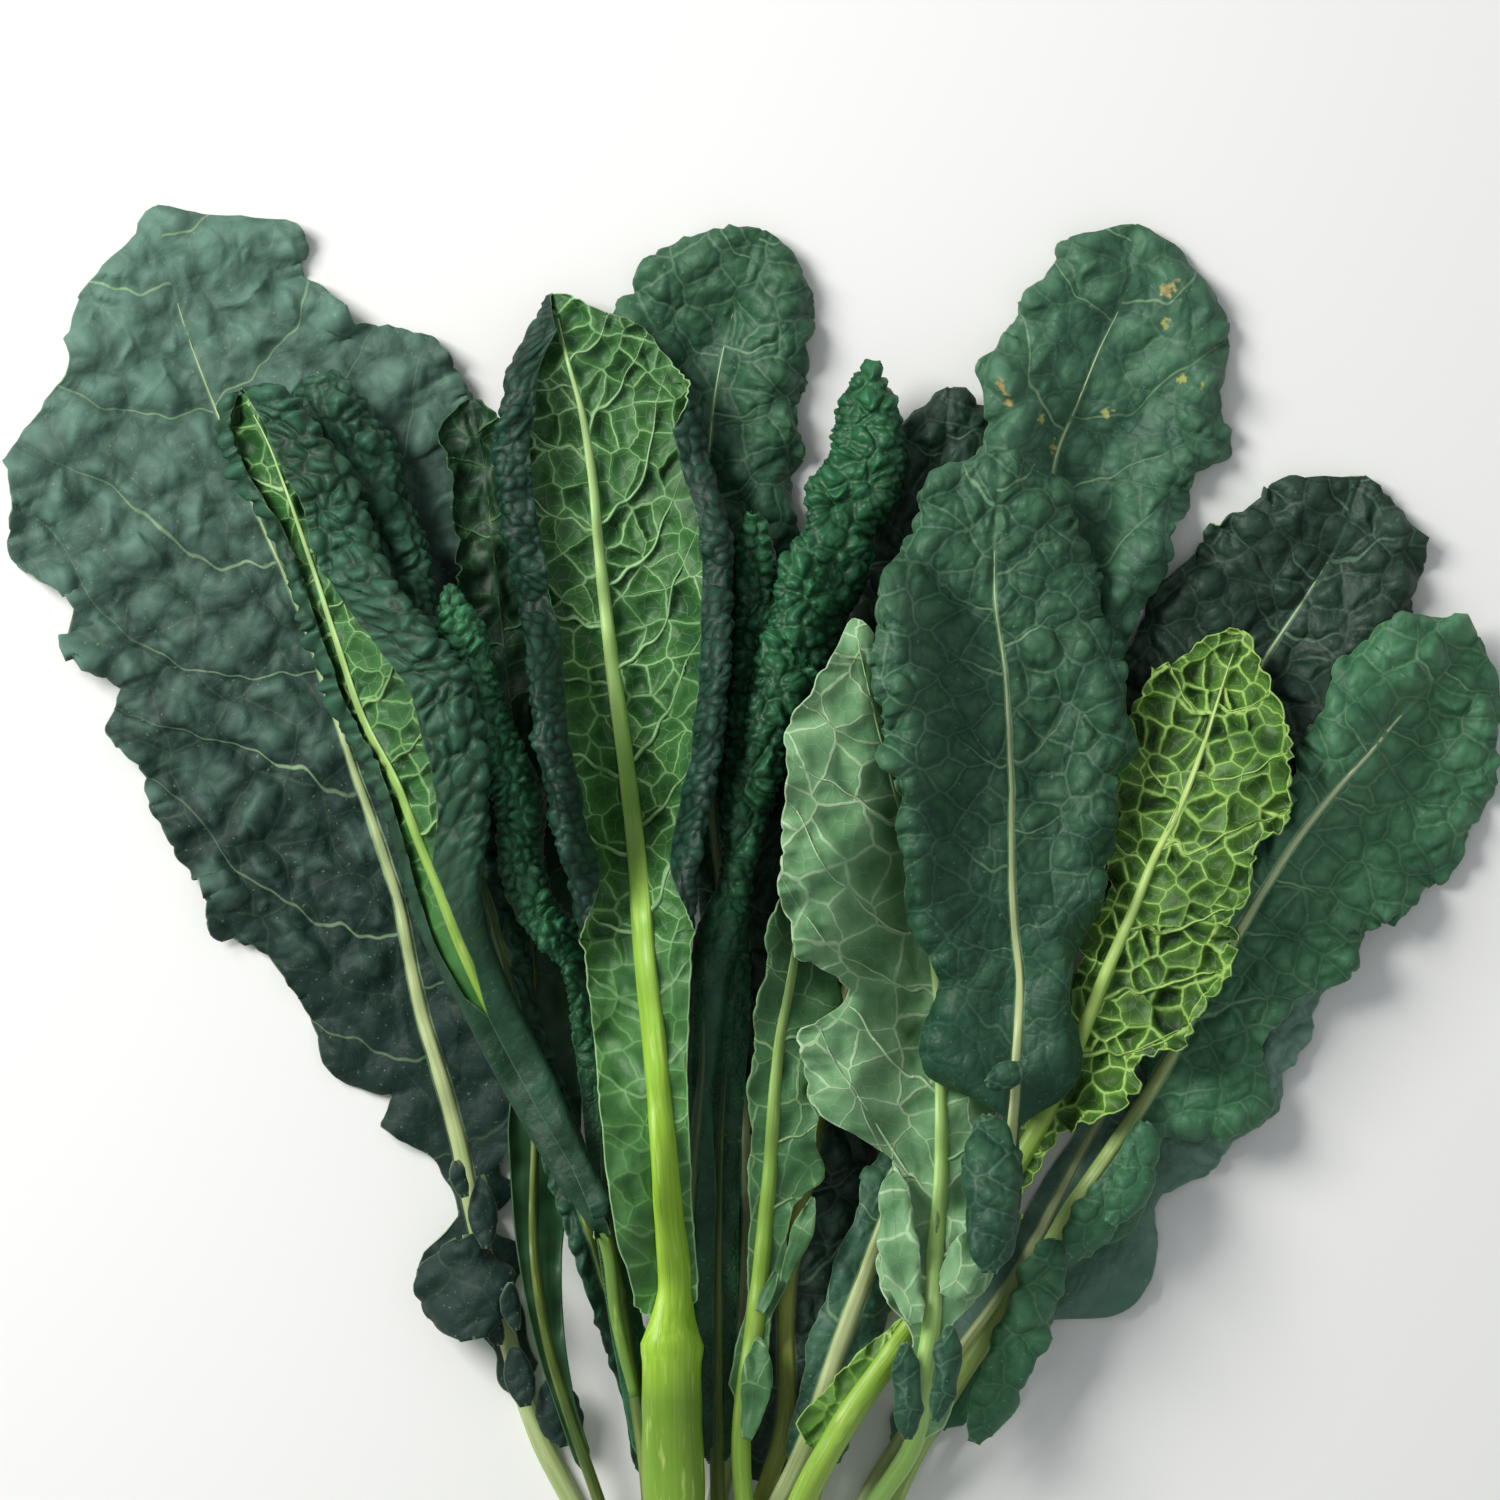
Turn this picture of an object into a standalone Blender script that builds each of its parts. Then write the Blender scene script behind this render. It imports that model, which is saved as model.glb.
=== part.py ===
"""A loose bunch of lacinato kale, laid down on a surface.

Eighteen leaves fan out from a bundle of stalks. Each leaf is two solids: a thin puckered blade, cut to
the rib by a narrow slot, and the pale stalk that fills the slot as the midrib. The leaves lie on each
other in the order of LEAVES, bottom one first. Lengths are in millimetres until a mesh is made.
+X is to the right, +Y from the cut ends to the tips, +Z up.
"""
import math
from collections import namedtuple

import bmesh
import bpy
import numpy as np

METRES = 0.001
ROUNDING = 1e-3                # smaller than any length that matters here

# Driving sizes of every leaf
BLADE_THICKNESS = 1.0
SLOT_CLEARANCE = 0.4          # between a blade and the rib that lies in its slot
SLOT_END = 1.2                # half-width of the slot where it closes, near the tip
WING = 1.6                    # a blade's narrowest strip beside the rib
BASE_DROP = 10.0              # a leaf's base is taken this far below the foot of its blade
TIP_LENGTH = 20.0             # of blade beyond the rib's end
TIP_ROUND = 15.0              # over which a blade's end is rounded off
TIP_BLUNT = 1.04              # a little over 1, so that the last row keeps some width
TIP_ROW = 0.16                # where the row before the last lies, in tip lengths from the end
ROW_SPACING = (13.0, 26.0)    # least and most distance between two rows of a blade
STALK_SPACING = 34.0          # between two rows of a bare stalk
BARE_SHARE = 0.6              # of the bare stalk that has the even width of its lower end
FOOT_SHARE = 0.15             # of the blade over which the stalk thins to its foot width
MAIN_STEM = 15.0              # a stalk cut with more width than this is a piece of main stem
FIRST_CORNER = 90.0           # degrees, so that a stalk's section has a corner on top
STALK_SIDES = 5
CORNER_ACROSS = math.cos(math.pi / 10)    # how far to the side the widest corner of a pentagon is
STALK_DEPTH = 0.85            # a stalk's depth over its width
RIB_STOP = 1.0                # the rib ends this far short of its slot's end
RIB_OFFSET = 0.3              # how far a rib sits towards the underside, in depths
ARCH = 5.0                    # how far a blade's margins bend back towards its underside
BOW = 9.0                     # how high the middle of a leaf arches between its ends, for a bow of 1
PUCKER_HEIGHT = 1.9
PUCKER_LENGTH = 19.0
PUCKER_CROWDING = 1.13        # how much closer the puckers lie along Y than along X
SLANT_SHARE = 0.6             # height of the slanting waves among the puckers, in pucker heights
SLANT_CROWDING = 0.71         # how close the slanting waves lie
LEAF_SHIFT = 1.9              # radians from one leaf's waves to the next leaf's
CROSS_SHIFT = 1.7             # the waves along Y shift so much faster than those along X
SLANT_SHIFT = 2.3             # and the slanting ones so much faster
CRINKLE_SHIFT = 3             # and the margin's waves so much faster
RUFFLE_HEIGHT = 2.6           # of a margin's waves up and down
RUFFLE_LENGTH = 31.0
GROWN_HALF = 20.0             # a half as wide as this bends and waves in full, a narrower one less
CRINKLE = 1.4                 # of a margin's waves in and out
CRINKLE_LENGTH = 27.0
CRINKLED_WIDTH = 15.0         # a half as wide as this is crinkled in full
ROLL_CLEARANCE = 0.8          # of flat blade kept between the rib and a rolled margin
ROLL_SHARE = 0.62             # a roll's radius is at most this share of the half's width
FLAP_OVERLAP = 0.6            # of the flap past the end of its roll

# How the leaves lie on each other
FIELD_HALF = 320.0            # half the side of the square that the height field covers
CELL = 2.0                    # one cell of the height field
STIFFNESS = 8                 # cells that a leaf bridges beside what holds it up
SAMPLES = 9                   # points along each side of a facet where its height is read
BLADE_GAP = 5.6               # over a leaf below, because its blisters stand up
STALK_GAP = 2.4
FLOOR_GAP = 0.02
SETTLE = 0.5                  # how far a lowest stalk's underside is flattened by the surface

Leaf = namedtuple("Leaf", "name finish face bow widths roll_left roll_right rib left right")
Roll = namedtuple("Roll", "angle radius flap start full loose", defaults=(math.inf,))
CURL_RADIUS = 14.0
CURL_GROWN = 0.12             # of the blade's length, over which a margin's curl grows to its full angle
LOOSENING = 0.08              # of the blade's length, over which a roll opens where it comes loose
FLAT = Roll(0.0, CURL_RADIUS, 0.0, 0.0, 1.0)
UPPER_FACE_UP = 1
UNDERSIDE_UP = -1


def margin_curl(angle, radius=CURL_RADIUS):
    """A margin that bends down, or up where the angle is positive, along the whole blade."""
    return Roll(angle, radius, 0.0, 0.0, CURL_GROWN)


# Each leaf as it lies: its bow, the stalk's width at the cut end, at the blade's base and at the rib's
# end, the roll of its two margins, then points of its rib from the cut end to the tip, and points of its
# left and right outlines in the same direction.
LEAVES = [
    Leaf("grey_back", "grey_blade", UPPER_FACE_UP, 0.0, (7.5, 5.5, 1.4), FLAT, margin_curl(-35),
         rib=[(14, -254), (24, -206), (38, -173), (52, -150), (69, -125), (87, -100), (101, -74),
              (116, -46), (135, -18), (153, 12), (172, 42), (191, 76)],
         left=[(44, -150), (62, -118), (82, -92), (98, -66), (109, -50), (122, -15), (139, 15), (153, 42),
               (169, 65), (185, 80)],
         right=[(50, -168), (68, -143), (86, -118), (101, -112), (113, -113), (125, -110), (133, -100),
                (134, -90), (132, -75), (151, -65), (159, -56), (177, -40), (175, -33), (180, -27),
                (186, -11), (196, 5), (205, 32), (206, 55), (198, 76)]),
    Leaf("dark_back", "black_green_blade", UPPER_FACE_UP, 0.5, (8.0, 5.5, 1.4), FLAT, margin_curl(-40),
         rib=[(4, -252), (9, -206), (19, -173), (33, -133), (51, -99), (76, -71), (99, -34), (119, 2),
              (137, 38), (153, 73), (169, 103), (184, 126), (194, 143), (202, 165)],
         left=[(108, 2), (119, 38), (122, 71), (121, 94), (127, 114), (135, 128), (159, 154), (176, 163),
               (190, 168), (200, 167)],
         right=[(128, -3), (153, 25), (173, 51), (193, 78), (210, 104), (218, 122), (223, 140),
                (218, 152), (212, 161), (205, 165)]),
    Leaf("broad_left", "broad_blade", UPPER_FACE_UP, 0.3, (8.0, 5.2, 1.3), FLAT, FLAT,
         rib=[(-43, -252), (-48, -206), (-56, -180), (-70, -151), (-82, -112), (-90, -83), (-98, -47),
              (-108, -13), (-117, 28), (-132, 72), (-150, 124), (-163, 154), (-175, 184), (-188, 219),
              (-196, 254)],
         left=[(-76, -140), (-84, -135), (-83, -122), (-90, -119), (-93, -110), (-102, -113),
               (-111, -102), (-106, -87), (-95, -83), (-98, -69), (-104, -64), (-102, -60), (-111, -57),
               (-111, -41), (-126, -47), (-137, -35), (-149, -4), (-163, 10), (-178, 14), (-182, 33),
               (-197, 50), (-198, 67), (-213, 79), (-207, 94), (-225, 105), (-224, 127), (-247, 138),
               (-242, 160), (-247, 170), (-232, 186), (-222, 203), (-227, 211), (-217, 230), (-203, 246)],
         right=[(-67, -132), (-73, -123), (-75, -107), (-80, -104), (-83, -89), (-88, -75), (-86, -67),
                (-82, -87), (-68, -87), (-66, -70), (-68, -41), (-73, -8), (-76, 25), (-82, 58),
                (-87, 91), (-91, 124), (-90, 157), (-93, 190), (-96, 203), (-106, 210), (-127, 217),
                (-148, 231), (-144, 239), (-154, 250), (-172, 249), (-180, 255), (-192, 257)]),
    Leaf("back_centre", "waxy_blade", UPPER_FACE_UP, 0.8, (8.0, 6.0, 1.4), margin_curl(-45),
         margin_curl(-50),
         rib=[(-20, -254), (-17, -206), (-7, -153), (-1, -107), (0, -67), (-4, -21), (-9, 25), (-14, 71),
              (-16, 111), (-16, 144), (-14, 169), (-11, 195), (-8, 210), (-2, 230), (4, 246)],
         left=[(-18, -160), (-12, -107), (-12, -67), (-15, -21), (-16, 25), (-28, 58), (-36, 84),
               (-45, 111), (-50, 144), (-52, 174), (-50, 200), (-44, 222), (-36, 228), (-39, 233),
               (-20, 242), (-18, 249), (-2, 250)],
         right=[(4, -160), (9, -107), (10, -67), (4, -21), (-2, 25), (2, 58), (7, 91), (12, 117),
                (14, 142), (14, 164), (16, 188), (17, 200), (21, 211), (18, 229), (21, 236), (18, 243),
                (8, 246)]),
    Leaf("dark_middle", "black_green_blade", UPPER_FACE_UP, 0.5, (8.0, 6.0, 1.5), margin_curl(-70),
         margin_curl(-70),
         rib=[(-7, -254), (-5, -206), (4, -173), (11, -151), (12, -107), (18, -71), (28, -24), (38, 25),
              (48, 75), (56, 117), (62, 157), (66, 194)],
         left=[(-3, -165), (2, -107), (8, -71), (19, -24), (31, 15), (31, 48), (35, 84), (40, 121),
               (45, 150), (48, 177), (59, 192)],
         right=[(21, -165), (24, -107), (30, -71), (38, -24), (45, 15), (54, 42), (68, 75), (78, 114),
                (83, 157), (82, 184), (75, 192)]),
    Leaf("tall_right", "waxy_blade", UPPER_FACE_UP, 1.0, (8.5, 6.0, 1.5), margin_curl(-40), margin_curl(-50),
         rib=[(-12, -254), (-9, -206), (6, -180), (20, -151), (28, -127), (39, -97), (54, -57), (68, -15),
              (78, 25), (85, 65), (92, 104), (96, 137), (102, 174), (109, 191), (116, 208), (123, 223),
              (127, 248)],
         left=[(10, -160), (20, -120), (32, -85), (46, -50), (59, -8), (58, 25), (61, 58), (64, 91),
               (68, 124), (71, 150), (78, 174), (79, 190), (76, 201), (82, 206), (88, 219), (94, 228),
               (100, 236), (108, 246), (121, 250)],
         right=[(28, -165), (40, -127), (52, -97), (64, -57), (78, -8), (89, 15), (102, 45), (114, 78),
                (122, 108), (132, 125), (139, 142), (147, 164), (159, 174), (155, 191), (153, 200),
                (158, 218), (155, 228), (147, 233), (141, 245), (133, 250)]),
    Leaf("shaded_left", "shaded_blade", UNDERSIDE_UP, 0.4, (5.5, 3.6, 1.2), margin_curl(60), margin_curl(60),
         rib=[(-31, -254), (-39, -206), (-50, -173), (-59, -147), (-67, -120), (-71, -95), (-71, -51),
              (-71, -8), (-73, 32), (-77, 71), (-81, 108), (-85, 144), (-88, 170), (-92, 190)],
         left=[(-57, -165), (-66, -145), (-76, -120), (-80, -95), (-80, -51), (-76, -8), (-81, 25),
               (-86, 58), (-92, 91), (-95, 121), (-96, 147), (-99, 167), (-101, 183)],
         right=[(-46, -160), (-53, -140), (-62, -110), (-66, -88), (-64, -51), (-64, -8), (-59, 25),
                (-58, 58), (-60, 91), (-63, 124), (-69, 154), (-78, 174), (-84, 186)]),
    Leaf("far_right", "waxy_blade", UPPER_FACE_UP, 1.0, (8.0, 6.0, 1.6), margin_curl(-40), margin_curl(-35),
         rib=[(33, -252), (38, -206), (47, -173), (58, -151), (82, -114), (94, -97), (105, -78),
              (122, -53), (138, -28), (150, -5), (164, 19), (181, 46), (194, 62), (205, 74), (214, 85),
              (224, 95), (240, 112)],
         left=[(125, -28), (139, -8), (153, 15), (163, 37), (173, 53), (183, 74), (188, 89), (194, 100),
               (207, 116), (226, 121)],
         right=[(67, -152), (78, -140), (89, -122), (101, -108), (104, -91), (111, -90), (124, -87),
                (133, -71), (133, -55), (139, -50), (151, -54), (164, -53), (173, -41), (170, -31),
                (168, -21), (179, -9), (189, -5), (199, 2), (204, 16), (219, 23), (232, 37), (238, 48),
                (245, 65), (247, 78), (247, 104), (244, 114)]),
    Leaf("small_curl", "bright_blade", UPPER_FACE_UP, 0.4, (6.5, 4.5, 1.2),
         Roll(-150, 3.2, 0.0, 0.48, 0.65), Roll(-150, 3.2, 0.0, 0.48, 0.65),
         rib=[(-9, -250), (-10, -206), (-11, -156), (-11, -107), (-10, -57), (-7, -15), (-5, 25),
              (-2, 65), (1, 98), (2, 124), (1, 152)],
         left=[(-17, -160), (-17, -107), (-16, -57), (-13, -10), (-9, 32), (-7, 65), (-5, 98), (-5, 124),
               (-4, 146)],
         right=[(-5, -160), (-4, -107), (-3, -57), (0, -10), (-1, 32), (3, 65), (7, 98), (9, 124),
                (6, 146)]),
    Leaf("rear_curl", "shaded_blade", UPPER_FACE_UP, 0.7, (7.0, 5.5, 1.4),
         Roll(-110, 7.0, 0.0, 0.38, 0.5), Roll(-125, 7.0, 0.0, 0.38, 0.5),
         rib=[(-36, -250), (-33, -206), (-33, -173), (-36, -140), (-45, -107), (-58, -67), (-73, -28),
              (-83, 12), (-95, 51), (-107, 88), (-118, 124), (-128, 154), (-136, 177), (-143, 198)],
         left=[(-38, -165), (-42, -140), (-51, -112), (-58, -92), (-67, -64), (-78, -28), (-81, -1),
               (-92, 28), (-107, 61), (-120, 98), (-134, 131), (-143, 157), (-149, 177), (-151, 192)],
         right=[(-28, -165), (-30, -140), (-38, -107), (-50, -67), (-65, -28), (-73, -1), (-79, 28),
                (-86, 61), (-96, 91), (-103, 115), (-110, 148), (-116, 160), (-118, 175), (-132, 193)]),
    Leaf("puckered_roll", "bright_blade", UPPER_FACE_UP, 0.6, (7.0, 5.0, 1.2),
         Roll(-160, 5.0, 0.0, 0.25, 0.42), Roll(-160, 5.0, 0.0, 0.25, 0.42),
         rib=[(-20, -252), (-20, -206), (-20, -156), (-21, -107), (-19, -60), (-16, -31), (-15, -10),
              (-11, 13), (-5, 34), (-1, 56), (6, 81), (11, 98), (17, 117), (24, 134), (30, 147),
              (35, 161), (38, 177), (40, 201)],
         left=[(-27, -160), (-28, -107), (-26, -70), (-22, -41), (-20, -10), (-17, 13), (-9, 34),
               (-6, 56), (-2, 78), (2, 94), (7, 117), (13, 134), (18, 147), (21, 161), (27, 173),
               (30, 188), (36, 198)],
         right=[(-12, -160), (-12, -107), (-11, -70), (-13, -41), (-8, -10), (-4, 13), (0, 34), (4, 56),
                (13, 81), (22, 92), (29, 110), (35, 128), (41, 147), (46, 161), (51, 171), (48, 185),
                (43, 197)]),
    Leaf("narrow_curl", "bright_blade", UPPER_FACE_UP, 0.3, (6.5, 4.5, 1.2),
         Roll(-150, 3.4, 0.0, 0.42, 0.6), Roll(-150, 3.4, 0.0, 0.42, 0.6),
         rib=[(-29, -250), (-31, -206), (-34, -166), (-41, -117), (-48, -67), (-51, -28), (-57, 5),
              (-69, 20), (-75, 38), (-76, 58), (-82, 75), (-89, 91), (-94, 108), (-99, 129)],
         left=[(-38, -160), (-46, -117), (-53, -67), (-58, -20), (-63, 5), (-74, 17), (-81, 32),
               (-82, 48), (-87, 68), (-94, 88), (-100, 108), (-103, 124)],
         right=[(-28, -160), (-35, -117), (-42, -67), (-48, -20), (-54, 15), (-65, 23), (-69, 42),
                (-68, 58), (-75, 73), (-82, 91), (-86, 108), (-94, 124)]),
    Leaf("left_of_pale", "pale_blade", UNDERSIDE_UP, 0.4, (7.0, 4.6, 1.4), FLAT, FLAT,
         rib=[(2, -250), (1, -206), (-3, -151), (2, -111), (6, -70), (10, -20), (15, 8), (17, 32),
              (21, 58), (26, 84), (30, 106)],
         left=[(-8, -140), (-4, -120), (-1, -110), (0, -67), (0, -34), (3, -8), (6, 15), (12, 32),
               (14, 58), (21, 84), (26, 100)],
         right=[(5, -140), (6, -120), (7, -110), (13, -105), (11, -90), (16, -71), (24, -71), (22, -54),
                (28, -28), (31, -1), (30, 25), (31, 58), (35, 84), (33, 100)]),
    Leaf("front_left_roll", "rolled_blade", UNDERSIDE_UP, 0.7, (6.5, 6.0, 1.5),
         Roll(175, 2.6, 3.0, 0.0, 0.05), Roll(185, 4.6, 8.0, 0.0, 0.05),
         rib=[(-38, -139), (-44, -114), (-47, -90), (-55, -67), (-68, -44), (-82, -18), (-95, 9),
              (-103, 29), (-110, 46), (-117, 64), (-127, 83), (-137, 112), (-145, 137), (-153, 160),
              (-161, 180), (-168, 192)],
         left=[(-50, -87), (-63, -69), (-78, -43), (-95, -11), (-107, 10), (-112, 25), (-121, 58),
               (-131, 78), (-140, 99), (-149, 126), (-158, 150), (-170, 167), (-177, 183)],
         right=[(-44, -79), (-53, -61), (-65, -33), (-79, -5), (-88, 18), (-90, 35), (-87, 54), (-87, 67),
                (-95, 100), (-101, 107), (-113, 121), (-124, 140), (-133, 165), (-150, 187)]),
    Leaf("bright_right", "yellow_green_blade", UNDERSIDE_UP, 0.9, (10.5, 6.0, 1.8), FLAT, margin_curl(70, 8),
         rib=[(7, -254), (9, -206), (16, -176), (29, -151), (57, -111), (88, -62), (95, -50), (109, -20),
              (117, 0), (127, 23), (133, 38), (142, 56), (150, 77), (156, 96), (162, 114)],
         left=[(13, -151), (30, -131), (48, -114), (60, -103), (92, -44), (101, -21), (113, 16),
               (118, 26), (119, 44), (121, 61), (125, 80), (123, 89), (131, 90), (134, 101), (143, 108),
               (155, 115)],
         right=[(71, -104), (97, -57), (106, -46), (119, -45), (125, -36), (129, -24), (140, -22),
                (150, -9), (158, 5), (156, 14), (164, 29), (165, 42), (175, 51), (179, 66), (174, 88),
                (170, 99), (166, 110)]),
    Leaf("pale_underside", "pale_blade", UNDERSIDE_UP, 0.8, (7.5, 5.8, 1.8), FLAT, FLAT,
         rib=[(19, -252), (22, -206), (40, -176), (55, -151), (57, -134), (60, -113), (61, -91),
              (63, -66), (63, -41), (61, 2), (55, 32), (48, 61), (40, 91), (34, 118)],
         left=[(50, -153), (51, -133), (55, -118), (43, -107), (43, -89), (44, -77), (50, -65), (41, -56),
               (33, -54), (22, -43), (16, -29), (17, -17), (29, -12), (32, -4), (25, 3), (14, 7),
               (11, 26), (9, 42), (13, 56), (11, 69), (12, 80), (22, 97), (30, 112)],
         right=[(61, -153), (69, -137), (64, -117), (78, -104), (80, -92), (74, -74), (78, -51),
                (84, -34), (86, -8), (82, 25), (73, 58), (59, 84), (42, 111)]),
    Leaf("front_centre", "bright_underside", UNDERSIDE_UP, 1.0, (20.0, 10.5, 2.0),
         Roll(180, 4.6, 5.0, 0.3, 0.45), Roll(180, 4.3, 4.0, 0.3, 0.45, loose=0.93),
         rib=[(-23, -254), (-24, -206), (-26, -152), (-26, -120), (-25, -102), (-27, -79), (-29, -53),
              (-32, -20), (-35, 7), (-37, 34), (-40, 62), (-45, 99), (-50, 142), (-52, 164), (-56, 188),
              (-61, 206), (-65, 225)],
         left=[(-37, -113), (-44, -87), (-48, -60), (-52, -15), (-54, 9), (-64, 50), (-70, 78),
               (-72, 106), (-77, 131), (-82, 159), (-83, 175), (-80, 196), (-73, 212), (-68, 223)],
         right=[(-18, -113), (-19, -81), (-20, -53), (-21, -31), (-20, 1), (-19, 23), (-17, 45),
                (-11, 73), (-8, 100), (-7, 126), (-7, 147), (-13, 164), (-19, 191), (-34, 213), (-55, 224)]),
    Leaf("front_right", "waxy_blade", UPPER_FACE_UP, 1.2, (4.4, 3.8, 1.8), margin_curl(-50, 12),
         margin_curl(-50, 12),
         rib=[(76, -102), (79, -90), (81, -81), (85, -62), (87, -45),
              (88, -26), (89, -2), (87, 20), (86, 69), (84, 102), (81, 124), (81, 151), (82, 173)],
         left=[(76, -82), (73, -76), (74, -62), (82, -56), (84, -43), (71, -40), (60, -36), (56, -28),
               (56, -17), (64, -4), (55, 13), (51, 28), (50, 56), (46, 72), (43, 91), (41, 108),
               (48, 140), (58, 152), (57, 164), (69, 173)],
         right=[(84, -84), (89, -79), (90, -64), (88, -56), (90, -45), (97, -46), (108, -35), (110, -24),
                (104, -7), (106, 4), (115, 23), (119, 42), (121, 63), (126, 77), (124, 87), (125, 96),
                (122, 104), (117, 120), (112, 141), (103, 153), (106, 165), (93, 173)]),
]

# Colour, roughness and metallic value of each finish
FINISHES = {
    "broad_blade": ((0.055, 0.110, 0.090), 0.62, 0.0),
    "waxy_blade": ((0.030, 0.090, 0.060), 0.60, 0.0),
    "black_green_blade": ((0.020, 0.045, 0.035), 0.60, 0.0),
    "grey_blade": ((0.065, 0.120, 0.085), 0.65, 0.0),
    "shaded_blade": ((0.018, 0.060, 0.035), 0.60, 0.0),
    "bright_blade": ((0.020, 0.130, 0.045), 0.55, 0.0),
    "rolled_blade": ((0.030, 0.120, 0.070), 0.55, 0.0),
    "bright_underside": ((0.060, 0.230, 0.060), 0.55, 0.0),
    "yellow_green_blade": ((0.110, 0.260, 0.045), 0.55, 0.0),
    "pale_blade": ((0.130, 0.300, 0.140), 0.60, 0.0),
    "pale_stalk": ((0.450, 0.560, 0.270), 0.45, 0.0),
    "lime_stalk": ((0.260, 0.520, 0.060), 0.40, 0.0),
    "olive_stalk": ((0.160, 0.220, 0.070), 0.45, 0.0),
}
LIME_STALKED = ("front_centre", "front_left_roll", "bright_right", "pale_underside", "left_of_pale")
OLIVE_STALKED = ("dark_middle", "shaded_left", "small_curl", "rear_curl", "puckered_roll", "narrow_curl")

# Quads across one side of a blade: one for each so many millimetres of a flat side, and on a curled or a
# rolled side so many on the flat, round the bend and on the flap
COLUMN_SPACING = 15.0
FLAT_COLUMNS = (2, 5)
CURLED_COLUMNS = (1, 2, 0)
ROLLED_COLUMNS = (1, 3, 1)
QUARTER = 90                  # degrees; a margin that turns further than this is a roll, else a curl


def read_curve(points, distances):
    """A smooth curve through points chosen by hand, read at distances along it."""
    knots = curve_knots(points)
    slopes = np.gradient(points, knots, axis=0)
    span = np.clip(np.searchsorted(knots, distances, side="right") - 1, 0, len(knots) - 2)
    length = knots[span + 1] - knots[span]
    f = ((distances - knots[span]) / length)[:, None]
    length = length[:, None]
    start = (1 + 2 * f) * (1 - f) ** 2 * points[span] + f * (1 - f) ** 2 * length * slopes[span]
    end = f * f * (3 - 2 * f) * points[span + 1] + f * f * (f - 1) * length * slopes[span + 1]
    return start + end


def curve_knots(points):
    steps = np.linalg.norm(np.diff(points, axis=0), axis=1)
    return np.concatenate([[0.0], np.cumsum(steps)])


class Rib:
    """The line of a leaf's stalk and midrib in plan."""

    def __init__(self, leaf):
        self.points = np.array(leaf.rib, float)
        self.length = curve_knots(self.points)[-1]
        self.along = np.arange(0.0, self.length, 1.0)
        self.trace = read_curve(self.points, self.along)
        self.right = self.normals(self.along)

    def normals(self, distances):
        reach = 4.0
        low = np.clip(distances - reach, 0.0, self.length)
        high = np.clip(distances + reach, 0.0, self.length)
        step = read_curve(self.points, high) - read_curve(self.points, low)
        step /= np.linalg.norm(step, axis=1)[:, None]
        return np.stack([step[:, 1], -step[:, 0]], axis=1)

    def widths(self, outline):
        """The distance along the rib, and away from it, of each point of an outline."""
        found = []
        for point in np.array(outline, float):
            away = np.linalg.norm(self.trace - point, axis=1)
            nearest = int(np.argmin(away))
            found.append((self.along[nearest], away[nearest]))
        found.sort()
        return np.array(found)


def blade_rows(left, right, tip):
    """Rows where the outlines have points, thinned where they crowd and filled in where they are far."""
    least, most = ROW_SPACING
    start = min(left[0, 0], right[0, 0])
    rows = [start]
    for station in sorted(list(left[:, 0]) + list(right[:, 0])):
        if station - rows[-1] >= least and tip - station > least:
            rows.append(station)
    rows += [tip - TIP_LENGTH * TIP_ROW, tip]
    filled = [rows[0]]
    for station in rows[1:]:
        parts = math.ceil((station - filled[-1]) / most)
        begin = filled[-1]
        filled += [begin + (station - begin) * part / parts for part in range(1, parts + 1)]
    return np.array(filled)


def bow_height(leaf, rib, distances):
    """The arch of a leaf from its cut end to its tip."""
    return leaf.bow * BOW * np.sin(math.pi * distances / rib.length) ** 2


def margin_width(widths, rib, station, phase):
    """How far a margin is from the rib: its outline, crinkled and rounded off at the tip."""
    width = np.interp(station, widths[:, 0], widths[:, 1], left=0.0)
    wave = math.sin(2 * math.pi * station / CRINKLE_LENGTH + CRINKLE_SHIFT * phase)
    width += CRINKLE * wave * min(width / CRINKLED_WIDTH, 1.0)
    into_tip = max(station - (rib.length - TIP_ROUND), 0.0) / TIP_ROUND
    return width * math.sqrt(TIP_BLUNT - into_tip ** 2)


def roll_section(roll, part, half, slot, columns):
    """Offsets, heights and surface angles across one side of a blade, from the slot to the margin."""
    growth = min(max((part - roll.start) / (roll.full - roll.start), 0.0), 1.0)
    growth *= min(max((roll.loose - part) / LOOSENING, 0.0), 1.0)
    angle = math.radians(abs(roll.angle)) * growth
    way = math.copysign(1.0, roll.angle)
    if roll.angle == 0.0:
        return np.linspace(slot, half, columns + 1), np.zeros(columns + 1), np.zeros(columns + 1)
    inner = slot + ROLL_CLEARANCE
    radius = min(roll.radius, ROLL_SHARE * (half - inner))
    bend = min(angle, math.pi / 2)
    flat = half - radius * math.sin(bend)
    flap = roll.flap * growth
    if angle < math.pi / 2:
        flat -= flap * math.cos(angle)
    else:
        room = flat + radius * math.sin(angle) - inner
        flap = min(flap, max(room, 0.0))
    flats, bends, flaps = ROLLED_COLUMNS if abs(roll.angle) > QUARTER else CURLED_COLUMNS
    offsets = list(np.linspace(slot, flat, flats + 1))
    heights = [0.0] * (flats + 1)
    angles = [0.0] * (flats + 1)
    for step in range(1, bends + 1):
        turned = angle * step / bends
        offsets.append(flat + radius * math.sin(turned))
        heights.append(radius * (1 - math.cos(turned)))
        angles.append(turned)
    if flaps:
        offsets.append(offsets[-1] + (flap + FLAP_OVERLAP) * math.cos(angle))
        heights.append(heights[-1] + (flap + FLAP_OVERLAP) * math.sin(angle))
        angles.append(angle)
    return np.array(offsets), way * np.array(heights), way * np.array(angles)


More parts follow.
